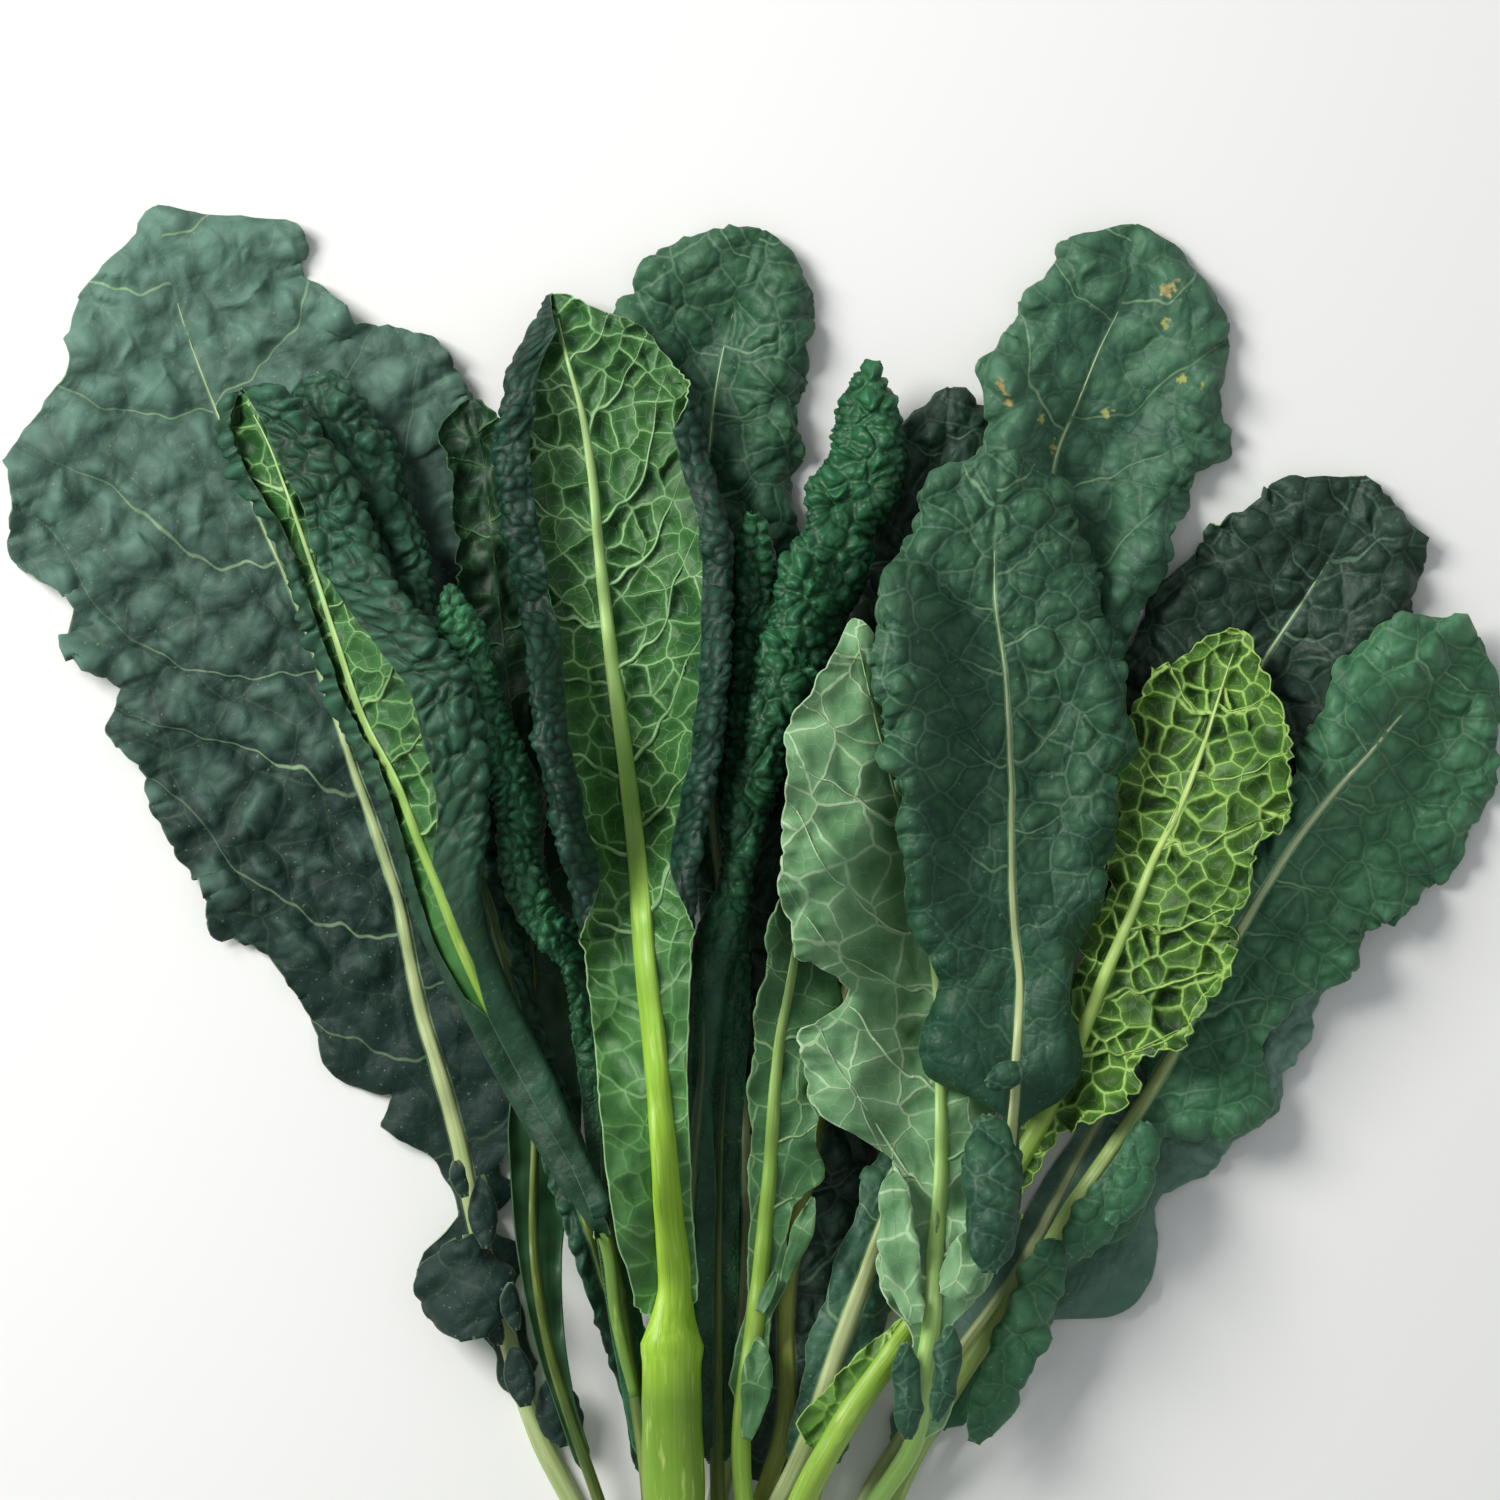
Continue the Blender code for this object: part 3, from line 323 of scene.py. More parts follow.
LATERAL_START = 0.35          # of a lateral vein's climb, that it has where it leaves the rib
LATERAL_BEND = 28.0           # across the blade, over which that share grows by one
SLOPE_CHANGE = 0.12           # how much the veins' slope changes along a blade
SLOPE_LENGTH = 17.0
STAGGER = 0.37                # of the spacing, between the laterals of the left and the right
SPACING_CHANGE = 0.22         # of the spacing, by which it varies
SPACING_LENGTH = 3.1          # in spacings
LATERAL_WAVE = 2.0            # how far a lateral vein wavers
WAVER_LENGTH = 19.0
WAVER_SHIFT = 40.0            # along the blade, over which the wavering shifts by one radian


def lateral_order(path, stations, climb, spacing, phase, hand):
    """Which lateral vein each point of one side is at, as a number with whole numbers on the veins."""
    climb = climb * path * (LATERAL_START + path / LATERAL_BEND)
    climb = climb - SLOPE_CHANGE * path * np.sin(stations / SLOPE_LENGTH + phase)[:, None]
    order = (stations[:, None] - climb) / spacing + STAGGER * hand
    uneven = wander(stations, SPACING_LENGTH * spacing, phase + 2 * hand)
    order = order + SPACING_CHANGE * uneven[:, None]
    wavering = wander(path, WAVER_LENGTH, phase + stations[:, None] / WAVER_SHIFT)
    return order + LATERAL_WAVE / spacing * wavering


WING = 0.4                    # a blade's narrowest strip beside the rib, inside the stalk
ARCH = 4.0                    # how far a blade's margins bend back towards its underside
GROWN_HALF = 20.0             # a half as wide as this bends and waves in full, a narrower one less
RUFFLE_HEIGHT = 2.6           # of a margin's waves up and down
RUFFLE_LENGTH = 31.0
FRILL_HEIGHT = 1.7            # of its short waves up and down
FRILL_LENGTH = 12.0
ROLLED_ROUGHNESS = 0.15       # of a margin's crinkles and teeth, where the margin is rolled over
RIM_WIDTH = 5.0               # of the strip along a margin that is thinner and paler
TURN_REACH = 8.0              # over which the sections of a narrow blade follow the rib's direction
TURN_SHARE = 0.25             # of the widest half, that is added to it
BEYOND_RIB = 6.0              # how far the groove beside the rib moves off where the rib has ended
GROOVE_FADE = 15.0            # over which it does

Blade = namedtuple("Blade", "sheet outward across stations rim order beside rolled swell face")


def grow_blade(leaf, rib, veins, puff, phase):
    """The middle sheet of a blade as rows by columns of points, with what its relief and finish follow."""
    left, right = rib.widths(leaf.left), rib.widths(leaf.right)
    start = min(left[0, 0], right[0, 0])
    stations = np.linspace(start, rib.length, round((rib.length - start) / veins.pitch) + 1)
    part = (stations - start) / (rib.length - start)
    swell = np.interp(part, [puff.start, puff.full], [puff.base, 1.0])
    widest = max(left[:, 1].max(), right[:, 1].max())
    normals = rib.normals(stations, TURN_REACH + TURN_SHARE * widest)
    sides = []
    for widths, roll, climb, hand in ((left, leaf.roll_left, veins.climb[0], -1),
                                      (right, leaf.roll_right, veins.climb[1], 1)):
        rough = swell * (ROLLED_ROUGHNESS if rolls_over(roll) else 1.0)
        half = np.maximum(margin_width(widths, rib, stations, rough, hand + phase), WING)
        reach = widths[:, 1].max() + math.radians(abs(roll.angle)) * roll.radius + roll.flap
        path, offset, height, rolled = rolled_side(roll, part, half, math.ceil(reach / veins.pitch) + 1)
        share = np.abs(offset) / half[:, None]
        grown = np.minimum(half / GROWN_HALF, 1.0)[:, None]
        height = height - leaf.face * ARCH * share ** 2 * grown
        if not rolls_over(roll):
            ripple = np.sin(2 * math.pi * stations / RUFFLE_LENGTH + hand + phase)[:, None]
            height = height + RUFFLE_HEIGHT * ripple * share ** 3 * grown
            frill = FRILL_HEIGHT * wander(stations, FRILL_LENGTH, hand + phase)[:, None]
            height = height + frill * share ** 5 * grown
        rim = np.clip(1 - (path[:, -1:] - path) / RIM_WIDTH, 0.0, 1.0)
        order = lateral_order(path, stations, climb, veins.spacing, phase, hand)
        sides.append((hand * path, hand * offset, height, rim, order, rolled))
    joined = [np.concatenate([a[:, :0:-1], b], axis=1) for a, b in zip(*sides)]
    across, offset, height, rim, order, rolled = joined
    swell = swell[:, None]
    places = read_curve(rib.points, stations)
    plan = places[:, None, :] + offset[..., None] * normals[:, None, :]
    height = height + relief(plan[..., 0], plan[..., 1], phase, swell)
    height = height + bow_height(leaf, rib, stations)[:, None]
    sheet = np.dstack([plan, height])
    outward = np.cross(np.gradient(sheet, axis=1), np.gradient(sheet, axis=0))
    outward /= np.maximum(np.linalg.norm(outward, axis=2, keepdims=True), 1e-9)
    beside = np.maximum(np.abs(across) - stalk_widths(leaf, rib, stations)[:, None] / 2, 0.0)
    beyond = np.clip((stations - puff.rib_end * rib.length) / GROOVE_FADE, 0.0, 1.0)[:, None]
    beside = beside + BEYOND_RIB * beyond
    return Blade(sheet, leaf.face * outward, across, stations, rim, order, beside, rolled, swell, leaf.face)


BASE_DROP = 10.0              # a leaf's base is taken this far below the foot of its blade
BARE_SHARE = 0.6              # of the bare stalk, over which it thins half way to the width of its foot
FOOT_SHARE = 0.15             # of the blade's length, at which the rib has that width
THIN_SHARE = 0.7              # of the blade's length, at which the rib is almost as thin as at its end
THIN_FOOT = 0.2               # of the foot's width, in the mean with the end's that the rib has there
RIB_TIP = 0.25                # of a rib's last width, at the very tip
STALK_PITCH = 3.0
STALK_SIDES = 18
STALK_DEPTH = 0.85
STALK_SWELLING = 0.03         # of a stalk's width, by which it varies
SWELLING_LENGTH = 37.0
STALK_REACH = 6.0             # over which a stalk's sections follow its direction
RIB_OFFSET = 0.12             # how far a rib sits towards the underside, in depths
RIB_PROUD = 0.75              # how far a rib's upper side stands out of the blade at least
RIB_END = 8.0                 # of blade beyond the rib's end
RIB_FADE = 40.0               # over which the rib thins out and sinks into the blade before its end
RIB_LEAST = 0.4               # of its width, that it still has there
RIB_SINK = 0.5                # how far it has sunk at its end
JOINING = 12.0                # over which a stalk takes up the puckers of its blade
RIDGES = 5                    # blunt ridges round a stalk
RIDGE_HEIGHT = 0.035          # in half widths
GROOVE_TOP = 0.95             # of the full round, that a stalk's grooved side has
GROOVE_DEPTH = 0.14           # in half depths
GROOVE_WIDTH = 0.3            # in half widths


def stalk_widths(leaf, rib, stations):
    """A stalk's width: even down to the blade's base, then tapering along the midrib. A leaf with a longer
    list of widths gives them at distances from its cut end."""
    base = max(rib.widths(leaf.left)[0, 0], rib.widths(leaf.right)[0, 0]) - BASE_DROP
    if len(leaf.widths) > 3:
        return np.interp(stations, *np.array(leaf.widths, float).T)
    cut, foot, end = leaf.widths
    blade = rib.length - base
    marks = [0.0, base * BARE_SHARE, base + FOOT_SHARE * blade, base + THIN_SHARE * blade, rib.length]
    return np.interp(stations, marks, [cut, (cut + foot) / 2, foot, (THIN_FOOT * foot + end) / 2,
                                       RIB_TIP * end])


def grow_stalk(leaf, rib, puff, phase, start):
    """Rings of points along a stalk: round on the underside, flatter with a shallow groove above."""
    stations = np.linspace(0.0, rib.length * puff.rib_end - RIB_END, round(rib.length / STALK_PITCH) + 1)
    fade = np.clip((stations[-1] - stations) / RIB_FADE, 0.0, 1.0)
    left_over = RIB_LEAST + (1 - RIB_LEAST) * fade
    places = read_curve(rib.points, stations)
    normals = rib.normals(stations, STALK_REACH)
    width = stalk_widths(leaf, rib, stations)
    width = width * (1 + STALK_SWELLING * wander(stations, SWELLING_LENGTH, phase)) * left_over
    depth = STALK_DEPTH * width
    joined = np.clip((stations - start) / JOINING, 0.0, 1.0)
    part = np.clip((stations - start) / (rib.length - start), 0.0, 1.0)
    swell = np.interp(part, [puff.start, puff.full], [puff.base, 1.0])
    middle = bow_height(leaf, rib, stations) + joined * relief(places[:, 0], places[:, 1], phase, swell)
    middle = middle - leaf.face * (RIB_OFFSET * depth + RIB_SINK * (1 - fade) ** 2)
    turn = 2 * math.pi * np.arange(STALK_SIDES) / STALK_SIDES
    across = np.cos(turn) * (1 + RIDGE_HEIGHT * np.cos(RIDGES * turn))
    rise = np.sin(turn)
    groove = GROOVE_DEPTH * np.exp(-(across / GROOVE_WIDTH) ** 2) * rise
    rise = np.where(rise > 0, GROOVE_TOP * rise - groove, rise)
    offset = (width / 2)[:, None] * across[None, :]
    plan = places[:, None, :] + offset[..., None] * normals[:, None, :]
    proud = RIB_PROUD * left_over[:, None] * np.clip(rise, 0.0, 1.0)[None, :]
    height = middle[:, None] + leaf.face * ((depth / 2)[:, None] * rise[None, :] + proud)
    return np.dstack([plan, height]), stations


# How the leaves lie on each other
FIELD_HALF = 320.0            # half the side of the square that the height field covers
CELL = 2.0                    # one cell of the height field
STIFFNESS = 6                 # cells that a leaf bridges beside what holds it up
BLADE_GAP = 0.9
STALK_GAP = 0.5
FLOOR_GAP = 0.5
LIFT_BLURS = 2                # how many times a leaf's raising is blurred
SETTLE = 0.5                  # how far a lowest stalk's underside is flattened by the surface


def spread(field, reach, keep):
    """Each cell takes the extreme of the square of cells round it."""
    for axis in (0, 1):
        padded = np.pad(field, [(reach, reach) if side == axis else (0, 0) for side in (0, 1)], "edge")
        count = field.shape[axis]
        parts = [np.take(padded, range(step, step + count), axis=axis) for step in range(2 * reach + 1)]
        field = keep.reduce(parts)
    return field


def blur(field, reach):
    """Each cell takes the mean of the square of cells round it."""
    for axis in (0, 1):
        padded = np.pad(field, [(reach, reach) if side == axis else (0, 0) for side in (0, 1)], "edge")
        count = field.shape[axis]
        field = sum(np.take(padded, range(step, step + count), axis=axis) for step in range(2 * reach + 1))
        field = field / (2 * reach + 1)
    return field


class HeightField:
    """The height of what already lies on the surface, over a square grid of cells."""

    def __init__(self):
        self.count = int(2 * FIELD_HALF / CELL)
        self.top = np.zeros((self.count, self.count))

    def extreme(self, points, highest):
        """The highest or lowest of the points in each cell, spread to the cells around it."""
        found = np.full((self.count, self.count), -math.inf if highest else math.inf)
        keep = np.maximum if highest else np.minimum
        spots = np.clip(((points[:, :2] + FIELD_HALF) / CELL).astype(int), 0, self.count - 1)
        keep.at(found, (spots[:, 0], spots[:, 1]), points[:, 2])
        return spread(found, 1, keep)

    def lift(self, blade, stalk):
        """How far a leaf is raised, over the plan, to clear all that lies below it."""
        need = np.full((self.count, self.count), -math.inf)
        for points, gap, floor_gap in ((blade, BLADE_GAP, FLOOR_GAP), (stalk, STALK_GAP, 0.0)):
            low = self.extreme(points, False)
            clearance = np.where(self.top > 0.0, gap, floor_gap)
            need = np.maximum(need, np.where(np.isinf(low), -math.inf, self.top + clearance - low))
        need = spread(need, STIFFNESS, np.maximum)
        while np.isinf(need).any():
            need = np.where(np.isinf(need), spread(need, STIFFNESS, np.maximum), need)
        for _ in range(LIFT_BLURS):
            need = blur(need, STIFFNESS // 2)
        return need

    def read(self, field, points):
        """A field's value at points, between the middles of its cells."""
        place = np.clip((points[..., :2] + FIELD_HALF) / CELL - 0.5, 0, self.count - 1.001)
        cell = place.astype(int)
        f = place - cell
        x, y = cell[..., 0], cell[..., 1]
        low = field[x, y] * (1 - f[..., 0]) + field[x + 1, y] * f[..., 0]
        high = field[x, y + 1] * (1 - f[..., 0]) + field[x + 1, y + 1] * f[..., 0]
        return low * (1 - f[..., 1]) + high * f[..., 1]

    def add(self, points):
        """Takes what is laid down into the field."""
        self.top = np.maximum(self.top, self.extreme(points, True))


CELL_WARP = 0.007             # how far the net's cells are bent out of their regular shape, in metres
WARP_SCALE = 75.0
LINE_BLEND = 0.0012           # over which veins that meet run into each other, in metres
CELL_SPREAD = (0.45, 1.2)     # the blisters' least height and what the tallest have more, of their dome
PATCHES = 38.0                # to a metre, of blade that is more blistered and of a lighter green
UNDERSIDE_PATCHES = 45.0      # to a metre
WAX_GRAIN = 220.0             # to a metre
WAX_HEIGHT = 0.0007           # of its grain, in metres
BEAD_HEIGHT = 0.00015         # of the smallest blisters, in metres
SPECKS = 620.0                # to a metre
RAGS = 300.0                  # to a metre, along the edge of a dry spot


def vein_distances(tree, grain, veins, cell, small_cell):
    """Adds the pattern that the relief and the finishes share: how far a point is, in metres, from the
    nearest lateral vein, from the net of veins between them, from the finest net and from the midrib, and
    a number from 0 to 1 for the net's cell that the point is in."""
    wobble = add_node(tree, "ShaderNodeTexNoise", {"Vector": grain, "Scale": WARP_SCALE, "Detail": 3.0})
    centred = add_node(tree, "ShaderNodeVectorMath",
                       {0: wobble.outputs["Color"], 1: (0.5, 0.5, 0.5)}, operation="SUBTRACT")
    reach = add_node(tree, "ShaderNodeVectorMath",
                     {0: centred.outputs["Vector"], "Scale": CELL_WARP}, operation="SCALE")
    bent = add_node(tree, "ShaderNodeVectorMath", {0: grain, 1: reach.outputs["Vector"]}, operation="ADD")
    distances = []
    for size in (cell, small_cell):
        density = add_node(tree, "ShaderNodeMath", {0: 1.0, 1: size}, operation="DIVIDE").outputs[0]
        place = {"Vector": bent.outputs["Vector"], "Scale": density, "Randomness": 0.95}
        cells = add_node(tree, "ShaderNodeTexVoronoi", place, voronoi_dimensions="2D",
                         feature="DISTANCE_TO_EDGE")
        metres = add_node(tree, "ShaderNodeMath", {0: cells.outputs["Distance"], 1: size},
                          operation="MULTIPLY")
        distances.append(metres.outputs[0])
        if size is cell:
            own = add_node(tree, "ShaderNodeTexVoronoi", place, voronoi_dimensions="2D", feature="F1")
            vigour = add_node(tree, "ShaderNodeSeparateXYZ", {"Vector": own.outputs["Color"]}).outputs["X"]
    parts = add_node(tree, "ShaderNodeSeparateXYZ", {"Vector": veins})
    nearest = add_node(tree, "ShaderNodeMath", {0: parts.outputs["X"], 1: 0.5}, operation="PINGPONG")
    lateral = add_node(tree, "ShaderNodeMath", {0: nearest.outputs[0], 1: parts.outputs["Y"]},
                       operation="MULTIPLY")
    midrib = add_node(tree, "ShaderNodeMath", {0: parts.outputs["Z"]}, operation="ABSOLUTE")
    return lateral.outputs[0], distances[0], distances[1], midrib.outputs[0], vigour


def make_relief():
    """The tree that swells a blade's two sheets into blisters between its veins, gives it its thickness
    and sets its two finishes."""
    tree = bpy.data.node_groups.new("kale blade relief", "GeometryNodeTree")
    tree.is_modifier = True
    sockets = (("Blade", "NodeSocketGeometry", None), ("Cell", "NodeSocketFloat", 0.01),
               ("Dome", "NodeSocketFloat", 0.0016), ("Small Cell", "NodeSocketFloat", 0.0045),
               ("Small Dome", "NodeSocketFloat", 0.0004), ("Softness", "NodeSocketFloat", 0.5),
               ("Thickness", "NodeSocketFloat", 0.0009), ("Upper Finish", "NodeSocketMaterial", None),
               ("Under Finish", "NodeSocketMaterial", None))
    for name, kind, value in sockets:
        socket = tree.interface.new_socket(name, in_out="INPUT", socket_type=kind)
        if value is not None:
            socket.default_value = value
    tree.interface.new_socket("Blade", in_out="OUTPUT", socket_type="NodeSocketGeometry")
    given = add_node(tree, "NodeGroupInput").outputs
    read = {}
    for name, kind in (("grain", "FLOAT_VECTOR"), ("veins", "FLOAT_VECTOR"), ("outward", "FLOAT_VECTOR"),
                       ("sheet", "FLOAT"), ("rim", "FLOAT"), ("puff", "FLOAT"), ("bead", "FLOAT")):
        read[name] = add_node(tree, "GeometryNodeInputNamedAttribute", {"Name": name},
                              data_type=kind).outputs["Attribute"]
    lateral, net, fine, midrib, vigour = vein_distances(tree, read["grain"], read["veins"], given["Cell"],
                                                        given["Small Cell"])
    nearest = add_node(tree, "ShaderNodeMath", {0: lateral, 1: net, 2: LINE_BLEND},
                       operation="SMOOTH_MIN").outputs[0]
    nearest = add_node(tree, "ShaderNodeMath", {0: nearest, 1: midrib, 2: LINE_BLEND},
                       operation="SMOOTH_MIN").outputs[0]
    own_height = add_node(tree, "ShaderNodeMath", {0: vigour, 1: CELL_SPREAD[1], 2: CELL_SPREAD[0]},
                          operation="MULTIPLY_ADD")
    tall = add_node(tree, "ShaderNodeMath", {0: given["Dome"], 1: own_height.outputs[0]},
                    operation="MULTIPLY").outputs[0]
    small = add_node(tree, "ShaderNodeMath", {0: given["Small Dome"], 1: read["bead"]},
                     operation="MULTIPLY").outputs[0]
    tall = add_node(tree, "ShaderNodeMath", {0: tall, 1: read["puff"]}, operation="MULTIPLY").outputs[0]
    swelling = None
    for distance, size, height in ((nearest, given["Cell"], tall), (fine, given["Small Cell"], small)):
        reach = add_node(tree, "ShaderNodeMath", {0: size, 1: 0.46}, operation="MULTIPLY")
        across = add_node(tree, "ShaderNodeMath", {0: distance, 1: reach.outputs[0]},
                          operation="DIVIDE", use_clamp=True)
        inside = add_node(tree, "ShaderNodeMath", {0: 1.0, 1: across.outputs[0]}, operation="SUBTRACT")
        fallen = add_node(tree, "ShaderNodeMath", {0: inside.outputs[0], 1: 2.0}, operation="POWER")
        round_dome = add_node(tree, "ShaderNodeMath", {0: 1.0, 1: fallen.outputs[0]}, operation="SUBTRACT")
        soft_dome = add_node(tree, "ShaderNodeMapRange", {"Value": across.outputs[0]},
                             interpolation_type="SMOOTHERSTEP")
        dome = add_node(tree, "ShaderNodeMix", {0: given["Softness"], "A": round_dome.outputs[0],
                                                "B": soft_dome.outputs[0]}, data_type="FLOAT")
        before = 0.0 if swelling is None else swelling
        swelling = add_node(tree, "ShaderNodeMath", {0: dome.outputs["Result"], 1: height, 2: before},
                            operation="MULTIPLY_ADD").outputs[0]
    uneven = add_node(tree, "ShaderNodeTexNoise", {"Vector": read["grain"], "Scale": PATCHES, "Detail": 1.0})
    stronger = add_node(tree, "ShaderNodeMapRange", {"Value": uneven.outputs["Fac"], "From Min": 0.3,
                                                     "From Max": 0.7, "To Min": 0.55, "To Max": 1.35})
    swelling = add_node(tree, "ShaderNodeMath", {0: swelling, 1: stronger.outputs[0]}, operation="MULTIPLY")
    thinner = add_node(tree, "ShaderNodeMapRange", {"Value": read["rim"], "To Min": 0.5, "To Max": 0.3})
    half = add_node(tree, "ShaderNodeMath", {0: thinner.outputs[0], 1: given["Thickness"]},
                    operation="MULTIPLY")
    side = add_node(tree, "ShaderNodeMath", {0: read["sheet"], 1: half.outputs[0], 2: swelling.outputs[0]},
                    operation="MULTIPLY_ADD")
    push = add_node(tree, "ShaderNodeVectorMath", {0: read["outward"], "Scale": side.outputs[0]},
                    operation="SCALE")
    moved = add_node(tree, "GeometryNodeSetPosition",
                     {"Geometry": given["Blade"], "Offset": push.outputs["Vector"]})
    under = add_node(tree, "GeometryNodeSetMaterial",
                     {"Geometry": moved.outputs[0], "Material": given["Under Finish"]})
    is_upper = add_node(tree, "FunctionNodeCompare", {"A": read["sheet"], "B": 0.1},
                        data_type="FLOAT", operation="GREATER_THAN")
    whole = add_node(tree, "GeometryNodeRealizeInstances", {"Geometry": under.outputs[0]})
    both = add_node(tree, "GeometryNodeSetMaterial",
                    {"Geometry": whole.outputs[0], "Selection": is_upper.outputs[0],
                     "Material": given["Upper Finish"]})
    add_node(tree, "NodeGroupOutput", {0: both.outputs[0]})
    return tree


def paint_edge(tree, colour, pale, strength):
    """The thin edge of a blade, where its pale inner flesh shows."""
    rim = add_node(tree, "ShaderNodeAttribute", attribute_name="rim").outputs["Fac"]
    edge = add_node(tree, "ShaderNodeMapRange", {"Value": rim, "From Min": 0.9, "From Max": 0.99,
                                                 "To Max": strength})
    mixed = add_node(tree, "ShaderNodeMix", {0: edge.outputs[0], "A": colour, "B": linear(pale)},
                     data_type="RGBA")
    return mixed.outputs["Result"]


def start_leaf_skin(name, cell, small_cell):
    """A new material, with what every leaf skin reads: its grain, its blisters and its pattern of veins."""
    skin = bpy.data.materials.new(name)
    skin.use_nodes = True
    tree = skin.node_tree
    grain = add_node(tree, "ShaderNodeAttribute", attribute_name="grain").outputs["Vector"]
    veins = add_node(tree, "ShaderNodeAttribute", attribute_name="veins").outputs["Vector"]
    puff = add_node(tree, "ShaderNodeAttribute", attribute_name="puff").outputs["Fac"]
    sizes = [add_node(tree, "ShaderNodeValue").outputs[0] for _ in range(2)]
    sizes[0].default_value = cell * METRES
    sizes[1].default_value = small_cell * METRES
    distances = vein_distances(tree, grain, veins, sizes[0], sizes[1])
    return skin, tree, tree.nodes["Principled BSDF"], grain, puff, distances


